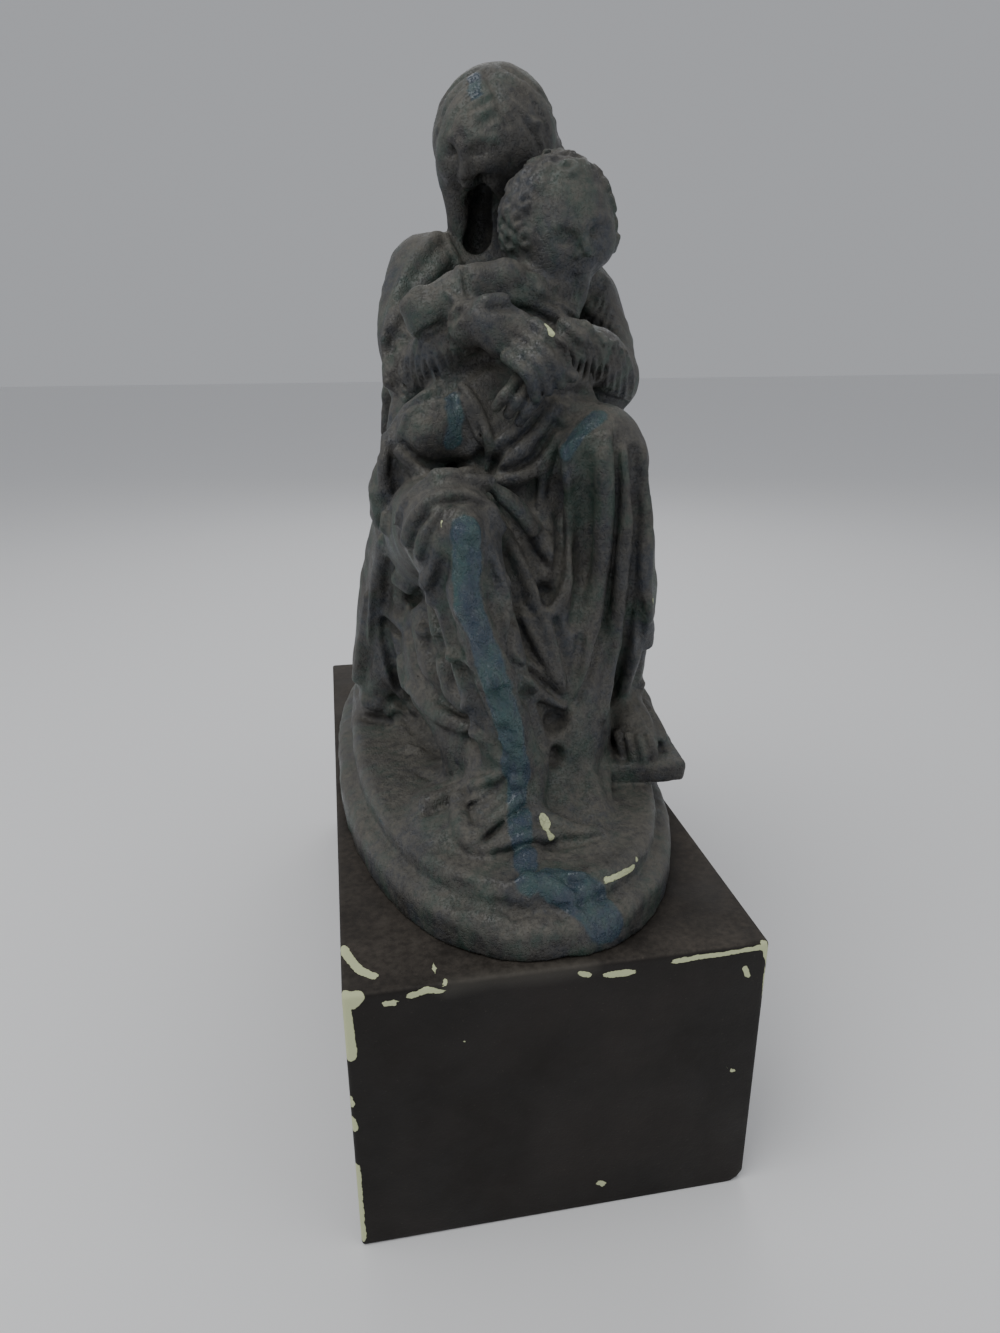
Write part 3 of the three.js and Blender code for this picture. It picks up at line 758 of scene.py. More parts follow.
# %% Ground details
def front_cloth():
    lump((-6, -88, 126), (25, 24, 6.5), blend=3)
    limb([spot(517, 764, -88), spot(517, 796, -93), spot(513, 824, -101)], [8.5, 9.5, 7.0], blend=5)
    limb([spot(492, 764, -78), spot(484, 800, -90), spot(480, 826, -100)], [8.0, 8.0, 6.0], blend=5)
    limb([spot(548, 770, -78), spot(558, 798, -86), spot(566, 820, -94)], [8.0, 7.0, 5.0], blend=5)
    rolls = dict(blend=2.4, hollow=0.6)
    fold([(458, 786), (459, 818), (469, 843), (492, 852), (512, 842)], [2.4, 3.2, 3.6, 3.4, 2.4], side=(8, -6), **rolls)
    fold([(478, 834), (494, 818), (518, 800)], [1.6, 2.2, 1.6], side=(5, 7), **rolls)
    fold([(494, 846), (510, 830), (534, 814)], [1.6, 2.2, 1.6], side=(5, 6), **rolls)
    fold([(466, 800), (484, 790), (500, 774)], [1.2, 1.8, 1.2], side=(4, 6), **rolls)
    fold([(428, 802), (442, 796), (458, 789), (490, 778)], [3.4, 3.0, 2.2, 1.4], side=(2, 8), **rolls)
    rim([(572, 716, -60), (578, 760, -74), (592, 806, -90), (597, 830, -98)], [3.5, 5.0, 5.5, 4.5], blend=4)
    rim([(600, 736, -62), (603, 776, -76), (602, 818, -92)], [2.0, 3.0, 3.4], blend=2.5)
    ridge([(540, 814), (566, 832), (596, 836)], [2.6, 3.4, 3.4], blend=3.5)
    rim([(524, 836, -106), (526, 858, -114), (527, 880, -122)], [6.0, 6.2, 5.0], blend=3)
    fold([(506, 844), (530, 833), (554, 840)], [1.6, 2.2, 1.6], side=(2, 7), **rolls)
    crease([(552, 846), (576, 842), (602, 836)], [1.4, 1.8, 1.4], blend=1.5)
    lump(strike(CAMERA_PLACE, sight_line(556, 758)), (3.6, 5, 4.4), blend=2, carve=True)
def stones():
    for pixel, radius in (((432, 764), 4.2), ((410, 750), 3.4), ((446, 758), 3.0), ((392, 712), 4.0), ((370, 700), 5.0)):
        ridge([pixel, (pixel[0] + 9, pixel[1] + 3)], [radius * 0.8, radius * 0.6], blend=2, flat=0.6)
    crease([(358, 716), (376, 720), (392, 722)], [1.6, 1.8, 1.2], blend=1.5)
    crease([(394, 716), (404, 714), (414, 732)], [2.0, 2.2, 1.4], blend=1.5)
    crease([(420, 774), (436, 780), (450, 776)], [1.4, 1.6, 1.2], blend=1.5)


def raised_foot():
    limb([(44, -42, 150), (47, -56, 144), (48, -67, 139.5)], [9.5, 8.5, 7.0], blend=3)
    for n in range(4):
        root = np.array([618 + 10 * n, 734 + 1.5 * n])
        ridge([root, root + (5, 12), root + (5, 22)], [1.8, 2.0, 1.7], blend=0.7, lift=0.6)
    lump((54, -50, 136), (9, 16, 6), turn=(-10, 0, 0), blend=3)
    limb([(52, -20, 150), (57, -36, 146), (59, -56, 137)], [6, 4.5, 3.0], blend=4)
    fold([(640, 696), (654, 716), (668, 748)], [1.2, 1.8, 1.2], side=(-6, 3), hollow=0.6)
def deck_wear():
    chance = np.random.default_rng(21)
    for _ in range(26):
        u, v = chance.uniform(455, 610), chance.uniform(876, 936)
        size = chance.uniform(0.8, 1.7)
        route = [(u, v), (u + chance.uniform(4, 14), v + chance.uniform(-3, 5))]
        stroke(route, [size, size * 0.6], blend=2.2, flat=0.6, carve=chance.uniform() < 0.5)
front_cloth()
stones()
raised_foot()
deck_wear()
print("ground laid")

# %% [markdown]
# The back can't be seen in the photograph. It gets what such a group has there: the cloak hanging
# from the shoulders in broad, plain folds that spread out towards the ground.

# %% Back of the cloak
CLOAK_MIDDLE = np.array([6.0, 10.0, 0.0])
BACK_FOLDS = 9


def around_cloak(degrees, height):
    """A place on the cloak, by degrees around from the front and by height."""
    a = math.radians(degrees)
    outward = np.array([math.sin(a), -math.cos(a), 0.0])
    start = CLOAK_MIDDLE + outward * 130 + np.array([0, 0, height])
    return strike(start, -outward)


def back_folds():
    for n, degrees in enumerate(np.linspace(112, 262, BACK_FOLDS)):
        sway = 7 * math.sin(n * 2.1)
        places = [around_cloak(180 + (degrees - 180) * (0.75 + 0.25 * t) + sway * t, 292 - 146 * t)
                  for t in np.linspace(0.06 * (n % 3), 1, 6)]
        limb(places, [1.4, 2.6, 3.2, 3.6, 3.8], blend=4)
        beside = [around_cloak(180 + (degrees + 8 - 180) * (0.75 + 0.25 * t) + sway * t, 286 - 140 * t)
                  for t in np.linspace(0.1 + 0.05 * (n % 2), 1, 6)]
        limb(beside, [0.8, 1.6, 2.2, 2.6, 2.6], blend=4, carve=True)


back_folds()

# %% [markdown]
# No hand-made surface is even. Two layers of smooth random swelling go over the whole casting: a
# wide one for the modeller's hand, and a fine one for the brushed paint.

# %% Uneven surface
def swelling(cell, amount, seed):
    """Smooth random lumps about cell millimetres wide, over the whole grid."""
    chance = np.random.default_rng(seed)
    counts = np.ceil((CLAY_HIGH - CLAY_LOW) / cell).astype(int) + 2
    values = chance.uniform(-amount, amount, tuple(counts)).astype(np.float32)
    for n in range(3):
        at = np.arange(grid_counts[n]) * GRAIN / cell
        low = np.floor(at).astype(int)
        share = (at - low).astype(np.float32)
        share = share * share * (3 - 2 * share)
        shape = [1, 1, 1]
        shape[n] = -1
        share = share.reshape(shape)
        values = np.take(values, low, axis=n) * (1 - share) + np.take(values, low + 1, axis=n) * share
    return values


clay += swelling(9.0, 0.45, 3)
clay += swelling(3.2, 0.22, 4)
print("surface made uneven")

# %% [markdown]
# The field becomes a mesh once everything is in the clay. The library that Blender uses for
# volumes does it: it lays quads where the distance is zero. The result is thinned, because flat
# places need fewer faces than curls and fingers do.

# %% From clay to mesh
FIGURE_TRIANGLES = 190_000


def mesh_from_clay(name):
    grid = openvdb.FloatGrid(FAR)
    grid.copyFromArray(clay.astype(float))
    grid.transform = openvdb.createLinearTransform(GRAIN)
    points, triangles, quads = grid.convertToPolygons(0.0, 0.0)
    points = (points + CLAY_LOW) * MM
    mesh = bpy.data.meshes.new(name)
    faces = [tuple(q) for q in np.asarray(quads)[:, ::-1]] + [tuple(t) for t in np.asarray(triangles)[:, ::-1]]
    mesh.from_pydata(points, [], faces)
    mesh.validate()
    return mesh


def thinned(mesh, wanted, name):
    """The same surface in fewer triangles, with flat places giving theirs up first."""
    mesh.calc_loop_triangles()
    carrier = bpy.data.objects.new("thinning", mesh)
    bpy.context.scene.collection.objects.link(carrier)
    fewer = carrier.modifiers.new("fewer faces", "DECIMATE")
    fewer.ratio = min(1.0, wanted / len(mesh.loop_triangles))
    fewer.use_collapse_triangulate = True
    ready = carrier.evaluated_get(bpy.context.evaluated_depsgraph_get())
    result = bpy.data.meshes.new_from_object(ready)
    bpy.data.objects.remove(carrier)
    result.name = name
    return result


full_mesh = mesh_from_clay("clay_surface")
print("clay surface has", len(full_mesh.polygons), "faces")
figure_mesh = thinned(full_mesh, FIGURE_TRIANGLES, "mother_and_child_casting")
print("figure has", len(figure_mesh.polygons), "triangles")
bpy.data.meshes.remove(full_mesh)

# %% [markdown]
# Paint wears by place, so the mesh has to tell the paint where it is. Four numbers are stored at
# each vertex: how hollow the place is, how sharp an edge, how near a run of blue glaze, and how
# near a chip. Two of the glaze runs, on the hair and on the left knee, are painted highlights. The
# clay's own distances give the first two with one reading out and one in.

# %% Marks for the paint
# Runs of blue glaze with their radii; the runs on the left knee and on the mother's hair are painted highlights in the
# glaze blue.
GLAZE_RUNS_AND_HIGHLIGHTS = (
    (SHIN_RUN, 5.2),
    ([(516, 776), (520, 820), (527, 884)], 4.0),
    ([(556, 880), (590, 900), (606, 924)], 7.0),
    ([(452, 396), (456, 420), (452, 440)], 3.0),
    # painted highlight on the left knee
    ([(600, 415), (580, 432), (566, 452)], 3.0),
    ([(349, 771), (366, 805), (384, 825)], 0.8),
    # painted highlight on the mother's hair
    ([(474, 76), (476, 96)], 2.6),
)
CHIPS = (
    ([(543, 818), (550, 828), (551, 836)], 1.7),
    ([(604, 881), (618, 876), (634, 867)], 1.1),
    ([(547, 325), (552, 334)], 0.9),
    ([(442, 521), (443, 528)], 0.55),
    ([(452, 513), (454, 514)], 0.5),
    ([(413, 882), (415, 883)], 0.6),
    ([(653, 599), (653, 603)], 0.5),
    ([(636, 858), (639, 861)], 0.5),
)


def distance_to_runs(points, runs):
    """The distance from each point to the nearest run, less that run's own radius."""
    nearest = np.full(len(points), 60.0)
    for places, radius in runs:
        for a, b in zip(places[:-1], places[1:]):
            along = b - a
            t = np.clip((points - a) @ along / max(along @ along, 1e-9), 0, 1)
            nearest = np.minimum(nearest, np.linalg.norm(points - a - t[:, None] * along, axis=1) - radius)
    return nearest


def mark(mesh, name, values):
    attribute = mesh.attributes.new(name, "FLOAT", "POINT")
    attribute.data.foreach_set("value", np.asarray(values, np.float32))


def vertex_places(mesh):
    flat = np.empty(len(mesh.vertices) * 3)
    mesh.vertices.foreach_get("co", flat)
    return flat.reshape(-1, 3) / MM


def vertex_normals(mesh):
    flat = np.empty(len(mesh.vertices) * 3)
    mesh.vertices.foreach_get("normal", flat)
    return flat.reshape(-1, 3)


def runs_on_clay(lines):
    return [(places, radius) for pixels, radius in lines for places, _ in seen(pixels, [1, 1])]


def mark_figure(mesh):
    points, normals = vertex_places(mesh), vertex_normals(mesh)
    open_air = sum(np.clip(measure(points + normals * reach) / reach, 0, 1) for reach in (2.0, 5.0, 9.0)) / 3
    solid = np.clip(-measure(points - normals * 2.2) / 2.2, 0, 1)
    mark(mesh, "hollow", 1 - open_air)
    mark(mesh, "edge", np.clip((1 - solid) * 2.2, 0, 1))
    mark(mesh, "glaze_and_highlight", np.clip(0.5 - distance_to_runs(points, runs_on_clay(GLAZE_RUNS_AND_HIGHLIGHTS)) / 5.0, 0, 1))
    mark(mesh, "chip", np.clip(0.5 - distance_to_runs(points, runs_on_clay(CHIPS)) / 4.0, 0, 1))


mark_figure(figure_mesh)

# %% [markdown]
# The block is a plain box made well: its edges are rounded and its front lower corner is worn
# round. Cuts are close together near the edges, where the paint is chipped, and wide elsewhere.

# %% Plinth
plinth_size = plinth_high - plinth_low
PLINTH_EDGE = 1.2
WORN_CORNER = 7.0
FINE_BAND, FINE_CUT, WIDE_CUT = 10.0, 1.0, 2.6


def plinth_box():
    shape = bmesh.new()
    bmesh.ops.create_cube(shape, size=1.0)
    middle = (plinth_low + plinth_high) / 2
    bmesh.ops.scale(shape, vec=Vector(plinth_size), verts=shape.verts)
    bmesh.ops.translate(shape, vec=Vector(middle), verts=shape.verts)
    corner = [v for v in shape.verts if v.co.x > 0 and v.co.y < 0 and v.co.z < middle[2]]
    bmesh.ops.bevel(shape, geom=corner, affect="VERTICES", offset=WORN_CORNER, segments=4, profile=0.5, material=-1)
    sharp = [e for e in shape.edges if len(e.link_faces) == 2 and e.calc_face_angle() > 1.2]
    bmesh.ops.bevel(shape, geom=sharp, affect="EDGES", offset=PLINTH_EDGE, segments=3, profile=0.5, material=-1)
    return shape


def cut_places(low, high):
    near = np.arange(PLINTH_EDGE + FINE_CUT, FINE_BAND, FINE_CUT)
    middle = np.arange(low + FINE_BAND, high - FINE_BAND, WIDE_CUT)
    return [*(low + near), *middle, *(high - near[::-1])]


def cut_plinth(shape):
    for axis in range(3):
        for place in cut_places(plinth_low[axis], plinth_high[axis]):
            point, normal = Vector((0, 0, 0)), Vector((0, 0, 0))
            point[axis] = place
            normal[axis] = 1.0
            everything = [*shape.verts, *shape.edges, *shape.faces]
            bmesh.ops.bisect_plane(shape, geom=everything, plane_co=point, plane_no=normal)


def build_plinth():
    shape = plinth_box()
    cut_plinth(shape)
    bmesh.ops.triangulate(shape, faces=[f for f in shape.faces if len(f.verts) > 4])
    bmesh.ops.scale(shape, vec=Vector((MM, MM, MM)), verts=shape.verts)
    bmesh.ops.recalc_face_normals(shape, faces=shape.faces)
    mesh = bpy.data.meshes.new("painted_block")
    shape.to_mesh(mesh)
    shape.free()
    return mesh


plinth_mesh = build_plinth()
print("plinth faces", len(plinth_mesh.polygons))

# %% [markdown]
# The chips on the block are drawn on the photograph, like the folds, but here the sight lines are
# met with the flat faces of the box. A smear of old plaster sits on the front edge.

# %% Plinth wear
BLOCK_CHIPS = (
    ([(343, 948), (352, 962), (362, 972), (374, 976)], 1.5),
    ([(341, 996), (352, 1003), (356, 998)], 2.4),
    ([(344, 1012), (348, 1040), (350, 1056)], 2.2),
    ([(349, 1100), (351, 1106)], 1.0),
    ([(352, 1120), (354, 1130)], 1.3),
    ([(354, 1168), (356, 1200), (358, 1240)], 1.5),
    ([(407, 997), (428, 990)], 1.2),
    ([(384, 1004), (394, 1003)], 1.1),
    ([(436, 991), (443, 990)], 0.9),
    ([(431, 963), (440, 977), (447, 984)], 0.7),
    ([(580, 973), (590, 975)], 1.1),
    ([(608, 975), (632, 972)], 1.3),
    ([(672, 962), (700, 957), (730, 953), (762, 947)], 0.9),
    ([(764, 942), (767, 956)], 1.2),
    ([(767, 960), (765, 1002)], 0.6),
    ([(745, 968), (748, 975)], 1.0),
    ([(597, 1182), (604, 1184)], 1.1),
    ([(722, 1066), (734, 1071)], 0.6),
    ([(463, 1040), (465, 1041)], 0.6),
)
SMEAR = [(448, 988), (490, 978), (540, 974), (590, 966)]


def on_block(u, v):
    """The place on the block's top or front that the photograph shows at a pixel."""
    line = sight_line(u, v)
    top = CAMERA_PLACE + line * (plinth_high[2] - CAMERA_PLACE[2]) / line[2]
    front = CAMERA_PLACE + line * (plinth_low[1] - CAMERA_PLACE[1]) / line[1]
    return np.clip(top if top[1] > plinth_low[1] else front, plinth_low, plinth_high)


def wear_plinth(mesh):
    points, normals = vertex_places(mesh), vertex_normals(mesh)
    smear = distance_to_runs(points, [([on_block(*p) for p in SMEAR], 5.0)])
    thick = np.clip(-smear / 5.0, 0, 1)
    lumpy = 0.5 + 0.3 * np.sin(points[:, 0] * 1.3 + points[:, 2]) + 0.2 * np.sin(points[:, 0] * 0.6 - points[:, 1] * 1.7)
    points = points + normals * (thick * lumpy * 0.5)[:, None]
    mesh.vertices.foreach_set("co", (points * MM).ravel())
    chips = [([on_block(*p) for p in pixels], radius) for pixels, radius in BLOCK_CHIPS]
    mark(mesh, "chip", np.clip(0.5 - distance_to_runs(points, chips) / 4.0, 0, 1))
    mark(mesh, "smear", thick)
    inner = np.minimum(points - plinth_low, plinth_high - points)
    inner.sort(axis=1)
    mark(mesh, "edge", np.clip(1 - inner[:, 1] / 2.0, 0, 1))


wear_plinth(plinth_mesh)

# %% [markdown]
# Three effects are needed by both paints, so each is a node group: dust and painted light from above
# on what faces up, chips with a ragged rim, and the fine grain that a brush leaves.

# %% Shared effects
def new_group(name, inputs, outputs):
    group = bpy.data.node_groups.new(name, "ShaderNodeTree")
    for label, value in inputs:
        socket = group.interface.new_socket(label, in_out="INPUT", socket_type="NodeSocketFloat")
        socket.default_value = value
    for label in outputs:
        group.interface.new_socket(label, in_out="OUTPUT", socket_type="NodeSocketFloat")
    return group, group.nodes.new("NodeGroupInput"), group.nodes.new("NodeGroupOutput")


def noise(tree, scale, detail=4.0, rough=0.55, stretch=(1, 1, 1)):
    """A noise pattern in the object's own coordinates. scale is lumps per metre."""
    place = tree.nodes.new("ShaderNodeTexCoord")
    mapping = tree.nodes.new("ShaderNodeMapping")
    mapping.inputs["Scale"].default_value = stretch
    pattern = tree.nodes.new("ShaderNodeTexNoise")
    pattern.inputs["Scale"].default_value = scale
    pattern.inputs["Detail"].default_value = detail
    pattern.inputs["Roughness"].default_value = rough
    tree.links.new(place.outputs["Object"], mapping.inputs["Vector"])
    tree.links.new(mapping.outputs["Vector"], pattern.inputs["Vector"])
    return pattern.outputs["Fac"]


def sums(tree, operation, *values, clamp=False):
    """A maths node. A value is a socket or a number."""
    node = tree.nodes.new("ShaderNodeMath")
    node.operation = operation
    node.use_clamp = clamp
    for socket, value in zip(node.inputs, values):
        if isinstance(value, (int, float)):
            socket.default_value = value
        else:
            tree.links.new(value, socket)
    return node.outputs[0]


def stretch_range(tree, value, low, high, to_low=0.0, to_high=1.0):
    node = tree.nodes.new("ShaderNodeMapRange")
    node.inputs["From Min"].default_value = low
    node.inputs["From Max"].default_value = high
    node.inputs["To Min"].default_value = to_low
    node.inputs["To Max"].default_value = to_high
    tree.links.new(value, node.inputs["Value"])
    return node.outputs["Result"]


# Places that face up are lightened, partly for settled dust and partly as painted light from above; sheltered places
# get dust only.
def dust_and_lit_top_group():
    group, start, end = new_group("dust_and_lit_top", [("Shelter", 0.0), ("Reach", 0.3)], ["Mask"])
    facing = group.nodes.new("ShaderNodeNewGeometry")
    split = group.nodes.new("ShaderNodeSeparateXYZ")
    group.links.new(facing.outputs["Normal"], split.inputs["Vector"])
    up = sums(group, "SUBTRACT", split.outputs["Z"], start.outputs["Reach"])
    up = sums(group, "MULTIPLY", up, 1.6, clamp=True)
    wide = stretch_range(group, noise(group, 45, 5, 0.6), 0.35, 0.65, 0.35, 1.0)
    fine = stretch_range(group, noise(group, 420, 4, 0.7), 0.35, 0.65, 0.35, 1.0)
    spread = sums(group, "MULTIPLY", wide, fine)
    sheltered = sums(group, "MULTIPLY", start.outputs["Shelter"], fine)
    mask = sums(group, "ADD", sums(group, "MULTIPLY", up, spread), sums(group, "MULTIPLY", sheltered, 0.5), clamp=True)
    group.links.new(mask, end.inputs["Mask"])
    return group


def chip_group():
    group, start, end = new_group("ragged_chip", [("Nearness", 0.0), ("Ragged", 0.35)], ["Mask", "Rim"])
    ragged = sums(group, "SUBTRACT", noise(group, 520, 5, 0.65), 0.5)
    shift = sums(group, "MULTIPLY", ragged, start.outputs["Ragged"])
    near = sums(group, "ADD", start.outputs["Nearness"], shift)
    group.links.new(stretch_range(group, near, 0.49, 0.51), end.inputs["Mask"])
    rim = sums(group, "SUBTRACT", stretch_range(group, near, 0.43, 0.48), stretch_range(group, near, 0.5, 0.53), clamp=True)
    group.links.new(rim, end.inputs["Rim"])
    return group


def grain_group():
    group, start, end = new_group("brushed_grain", [("Pits", 0.5)], ["Height"])
    lumps = noise(group, 260, 6, 0.6)
    pits = stretch_range(group, noise(group, 1150, 3, 0.6), 0.34, 0.5, -1.0, 0.0)
    height = sums(group, "ADD", lumps, sums(group, "MULTIPLY", pits, start.outputs["Pits"]))
    group.links.new(height, end.inputs["Height"])
    return group


DUST_AND_LIT_TOP, CHIP, GRAINY = dust_and_lit_top_group(), chip_group(), grain_group()


def use_group(tree, group, **values):
    node = tree.nodes.new("ShaderNodeGroup")
    node.node_tree = group
    for label, value in values.items():
        if isinstance(value, (int, float)):
            node.inputs[label].default_value = value
        else:
            tree.links.new(value, node.inputs[label])
    return node


def stored(tree, name):
    node = tree.nodes.new("ShaderNodeAttribute")
    node.attribute_name = name
    return node.outputs["Fac"]


def mixed(tree, share, under, over):
    """Two colours mixed. Each is a socket or a colour."""
    node = tree.nodes.new("ShaderNodeMix")
    node.data_type = "RGBA"
    if isinstance(share, (int, float)):
        node.inputs["Factor"].default_value = share
    else:
        tree.links.new(share, node.inputs["Factor"])
    for socket, value in ((node.inputs[6], under), (node.inputs[7], over)):
        if isinstance(value, tuple):
            socket.default_value = (*value, 1)
        else:
            tree.links.new(value, socket)
    return node.outputs[2]


def bump(tree, height, strength, distance, under=None):
    node = tree.nodes.new("ShaderNodeBump")
    node.inputs["Strength"].default_value = strength
    node.inputs["Distance"].default_value = distance
    tree.links.new(height, node.inputs["Height"])
    if under is not None:
        tree.links.new(under, node.inputs["Normal"])
    return node.outputs["Normal"]


def new_material(name):
    material = bpy.data.materials.new(name)
    material.use_nodes = True
    tree = material.node_tree
    return material, tree, tree.nodes["Principled BSDF"]


# %% [markdown]
# The figure's paint was meant to look like old bronze: charcoal first, then blue and green
# brushed into it, and a clear coat that shines where hands have polished it. The upper sides are
# lightened with grey, partly for settled dust and partly as painted light from above. Where the
# paint is knocked off, the pale yellow-green ground shows.

# %% Bronzed paint
CHARCOAL = (0.017, 0.018, 0.020)
DARK_BROWN = (0.020, 0.015, 0.012)
SLATE_BLUE = (0.022, 0.032, 0.050)
SEA_GREEN = (0.022, 0.046, 0.036)
# Blue glaze colours, also used for painted highlights on the hair and the left knee.
GLAZE_AND_HIGHLIGHT_BLUE = (0.022, 0.046, 0.078)
GLAZE_AND_HIGHLIGHT_TEAL = (0.030, 0.078, 0.082)
PALE_GROUND = (0.56, 0.60, 0.36)
# Pale grey for dust, also used as painted light on the upper sides and as a painted highlight on sharp edges.
DUST_AND_LIT_TOP_GREY = (0.105, 0.098, 0.082)


def bronzed_paint():
    material, tree, shader = new_material("bronzed_paint")
    hollow, edge, glaze_and_highlight, chip = (stored(tree, name) for name in ("hollow", "edge", "glaze_and_highlight", "chip"))
    blue_patches = stretch_range(tree, noise(tree, 38, 4, 0.6), 0.46, 0.62)
    brown_patches = stretch_range(tree, noise(tree, 55, 5, 0.6, (1.3, 0.8, 1)), 0.5, 0.64)
    green_patches = stretch_range(tree, noise(tree, 62, 5, 0.65, (1, 1.4, 0.8)), 0.47, 0.6)
    colour = mixed(tree, sums(tree, "MULTIPLY", blue_patches, 0.75), CHARCOAL, SLATE_BLUE)
    colour = mixed(tree, sums(tree, "MULTIPLY", brown_patches, 0.6), colour, DARK_BROWN)
    in_hollow = sums(tree, "MULTIPLY", green_patches, stretch_range(tree, hollow, 0.12, 0.5))
    colour = mixed(tree, in_hollow, colour, SEA_GREEN)
    streak = stretch_range(tree, noise(tree, 150, 5, 0.7, (1, 1, 0.45)), 0.42, 0.6)
    # The glaze colour, also laid as painted highlights on the hair and the left knee.
    glaze_and_highlight_colour = mixed(tree, streak, GLAZE_AND_HIGHLIGHT_BLUE, GLAZE_AND_HIGHLIGHT_TEAL)
    uneven_glaze_and_highlight = sums(tree, "ADD", glaze_and_highlight, sums(tree, "MULTIPLY", sums(tree, "SUBTRACT", noise(tree, 130), 0.5), 0.9))
    glaze_and_highlight_mask = stretch_range(tree, uneven_glaze_and_highlight, 0.42, 0.62)
    colour = mixed(tree, sums(tree, "MULTIPLY", glaze_and_highlight_mask, 0.85), colour, glaze_and_highlight_colour)
    # Painted light and dust: places facing up are mixed towards the pale grey.
    dust_and_lit_top_mask = use_group(tree, DUST_AND_LIT_TOP, Shelter=sums(tree, "MULTIPLY", hollow, 0.35), Reach=-0.05).outputs["Mask"]
    # Painted highlight, with some wear: sharp edges are lightened towards the same grey.
    edge_highlight_and_wear = sums(tree, "MULTIPLY", edge, stretch_range(tree, noise(tree, 300, 4, 0.7), 0.4, 0.6))
    dust_and_painted_light = sums(tree, "ADD", sums(tree, "MULTIPLY", dust_and_lit_top_mask, 0.8), sums(tree, "MULTIPLY", edge_highlight_and_wear, 0.35), clamp=True)
    dust_and_painted_light = sums(tree, "MULTIPLY", dust_and_painted_light, sums(tree, "SUBTRACT", 1.0, sums(tree, "MULTIPLY", glaze_and_highlight_mask, 0.7)))
    colour = mixed(tree, dust_and_painted_light, colour, DUST_AND_LIT_TOP_GREY)
    chips = use_group(tree, CHIP, Nearness=chip, Ragged=0.3)
    colour = mixed(tree, chips.outputs["Mask"], colour, PALE_GROUND)
    tree.links.new(colour, shader.inputs["Base Color"])
    shine = stretch_range(tree, noise(tree, 90, 5, 0.65), 0.35, 0.65, 0.28, 0.5)
    rough = sums(tree, "ADD", shine, sums(tree, "MULTIPLY", dust_and_painted_light, 0.3))
    rough = sums(tree, "SUBTRACT", rough, sums(tree, "MULTIPLY", glaze_and_highlight_mask, 0.14))
    rough = sums(tree, "MAXIMUM", rough, sums(tree, "MULTIPLY", chips.outputs["Mask"], 0.85), clamp=True)
    tree.links.new(rough, shader.inputs["Roughness"])
    grain = use_group(tree, GRAINY, Pits=0.6).outputs["Height"]
    rough_skin = bump(tree, grain, 0.55, 0.0009)
    chipped = bump(tree, sums(tree, "MULTIPLY", chips.outputs["Mask"], -1.0), 0.8, 0.0006, rough_skin)
    tree.links.new(chipped, shader.inputs["Normal"])
    shader.inputs["Specular IOR Level"].default_value = 0.5
    return material


# %% Block paint
BLOCK_BROWN = (0.0075, 0.0058, 0.0045)
BLOCK_WARM = (0.013, 0.0095, 0.0075)
# The block's top colour, for settled dust and for painted light from above.
BLOCK_DUST_AND_LIT_TOP = (0.085, 0.073, 0.060)
SCRATCH_START, SCRATCH_END = (532, 1095), (600, 1182)


def block_paint():
    material, tree, shader = new_material("block_paint")
    chip, edge, smear = (stored(tree, name) for name in ("chip", "edge", "smear"))
    cloudy = stretch_range(tree, noise(tree, 22, 5, 0.6), 0.38, 0.64)
    colour = mixed(tree, cloudy, BLOCK_BROWN, BLOCK_WARM)
    # Painted light and dust: the block's top is lightened, its sides are not.
    dust_and_lit_top_mask = use_group(tree, DUST_AND_LIT_TOP, Shelter=0.0, Reach=0.25).outputs["Mask"]
    specks = stretch_range(tree, noise(tree, 900, 2, 0.5), 0.70, 0.74)
    dust_and_painted_light = sums(tree, "ADD", sums(tree, "MULTIPLY", dust_and_lit_top_mask, 0.75), sums(tree, "MULTIPLY", specks, 0.25), clamp=True)
    colour = mixed(tree, dust_and_painted_light, colour, BLOCK_DUST_AND_LIT_TOP)
    colour = mixed(tree, sums(tree, "MULTIPLY", smear, 0.35), colour, DUST_AND_LIT_TOP_GREY)
    near = sums(tree, "ADD", chip, sums(tree, "MULTIPLY", edge, sums(tree, "MULTIPLY", stretch_range(tree, noise(tree, 60, 3, 0.6), 0.58, 0.7), 0.3)))
    chips = use_group(tree, CHIP, Nearness=near, Ragged=0.34)
    colour = mixed(tree, chips.outputs["Mask"], colour, PALE_GROUND)
    tree.links.new(colour, shader.inputs["Base Color"])
    shine = stretch_range(tree, noise(tree, 30, 5, 0.6), 0.35, 0.65, 0.5, 0.68)
    rough = sums(tree, "ADD", shine, sums(tree, "MULTIPLY", dust_and_painted_light, 0.3))
    rough = sums(tree, "MAXIMUM", rough, sums(tree, "MULTIPLY", chips.outputs["Mask"], 0.85), clamp=True)
    tree.links.new(rough, shader.inputs["Roughness"])
    grain = use_group(tree, GRAINY, Pits=0.15).outputs["Height"]
    skin = bump(tree, grain, 0.35, 0.0004)
    chipped = bump(tree, sums(tree, "MULTIPLY", chips.outputs["Mask"], -1.0), 0.8, 0.0006, skin)
    tree.links.new(chipped, shader.inputs["Normal"])
    shader.inputs["Specular IOR Level"].default_value = 0.3
    return material


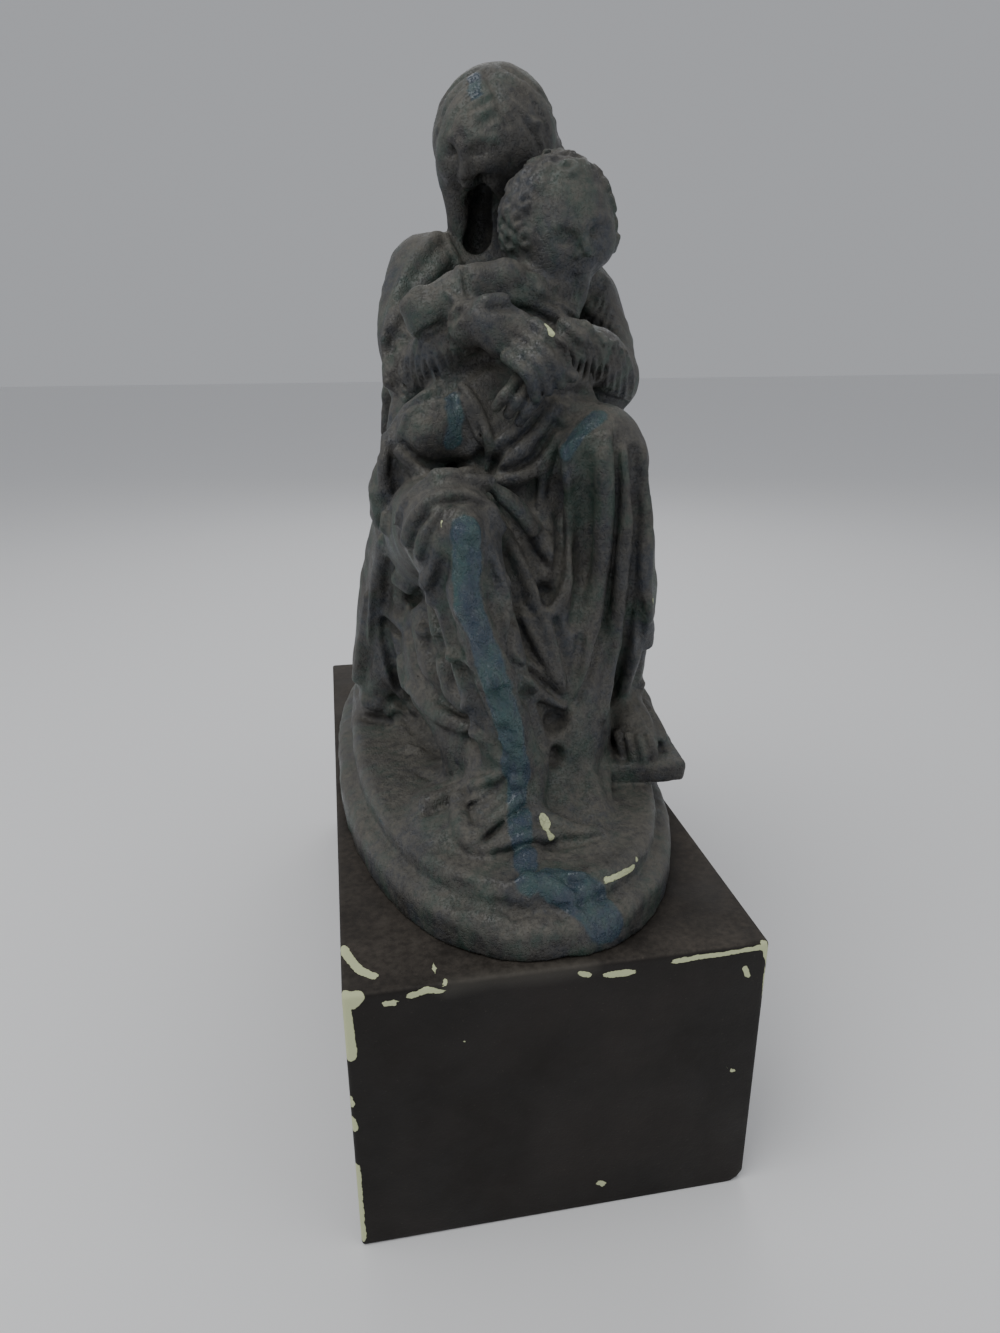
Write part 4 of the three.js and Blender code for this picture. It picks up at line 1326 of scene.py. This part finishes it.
# %% Painting the pieces
def finish_piece(mesh, material, node):
    mesh.materials.clear()
    mesh.materials.append(material)
    mesh.polygons.foreach_set("use_smooth", [True] * len(mesh.polygons))
    piece = bpy.data.objects.new(mesh.name, mesh)
    bpy.context.scene.collection.objects.link(piece)
    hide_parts(node)
    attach(piece, "root")
    return piece


figure = finish_piece(figure_mesh, bronzed_paint(), "mother_and_child")
plinth = finish_piece(plinth_mesh, block_paint(), "plinth")

# %% [markdown]
# The photograph was taken in soft light from above and a little to the left, in front of white.
# Three large lamps and a pale floor give that. Large lamps matter here: the glossy paint mirrors
# them, and a small lamp would show as a hard spark.

# %% Studio
FLOOR_SIZE = 6.0


def studio():
    world = bpy.data.worlds.new("studio_air")
    world.use_nodes = True
    world.node_tree.nodes["Background"].inputs["Color"].default_value = (0.93, 0.95, 1.0, 1)
    world.node_tree.nodes["Background"].inputs["Strength"].default_value = 0.42
    bpy.context.scene.world = world
    for name, place, size, power in (
        ("window", (-0.55, -0.35, 1.1), 0.9, 7.0),
        ("bounce", (0.9, -0.7, 0.6), 0.9, 2.0),
        ("back", (0.2, 0.9, 0.9), 0.8, 2.5),
    ):
        lamp = bpy.data.lights.new(name, "AREA")
        lamp.size = size
        lamp.energy = power
        holder = bpy.data.objects.new(name, lamp)
        holder.location = place
        holder.rotation_euler = (Vector((0, 0, 0.2)) - Vector(place)).to_track_quat("-Z", "Y").to_euler()
        bpy.context.scene.collection.objects.link(holder)


def pale_floor():
    shape = bmesh.new()
    bmesh.ops.create_grid(shape, x_segments=1, y_segments=1, size=FLOOR_SIZE)
    mesh = bpy.data.meshes.new("floor")
    shape.to_mesh(mesh)
    shape.free()
    floor = bpy.data.objects.new("floor", mesh)
    bpy.context.scene.collection.objects.link(floor)
    paint = bpy.data.materials.new("pale_floor")
    paint.use_nodes = True
    shader = paint.node_tree.nodes["Principled BSDF"]
    shader.inputs["Base Color"].default_value = (0.87, 0.87, 0.87, 1)
    shader.inputs["Roughness"].default_value = 0.8
    mesh.materials.append(paint)


studio()
pale_floor()
bpy.context.view_layer.update()
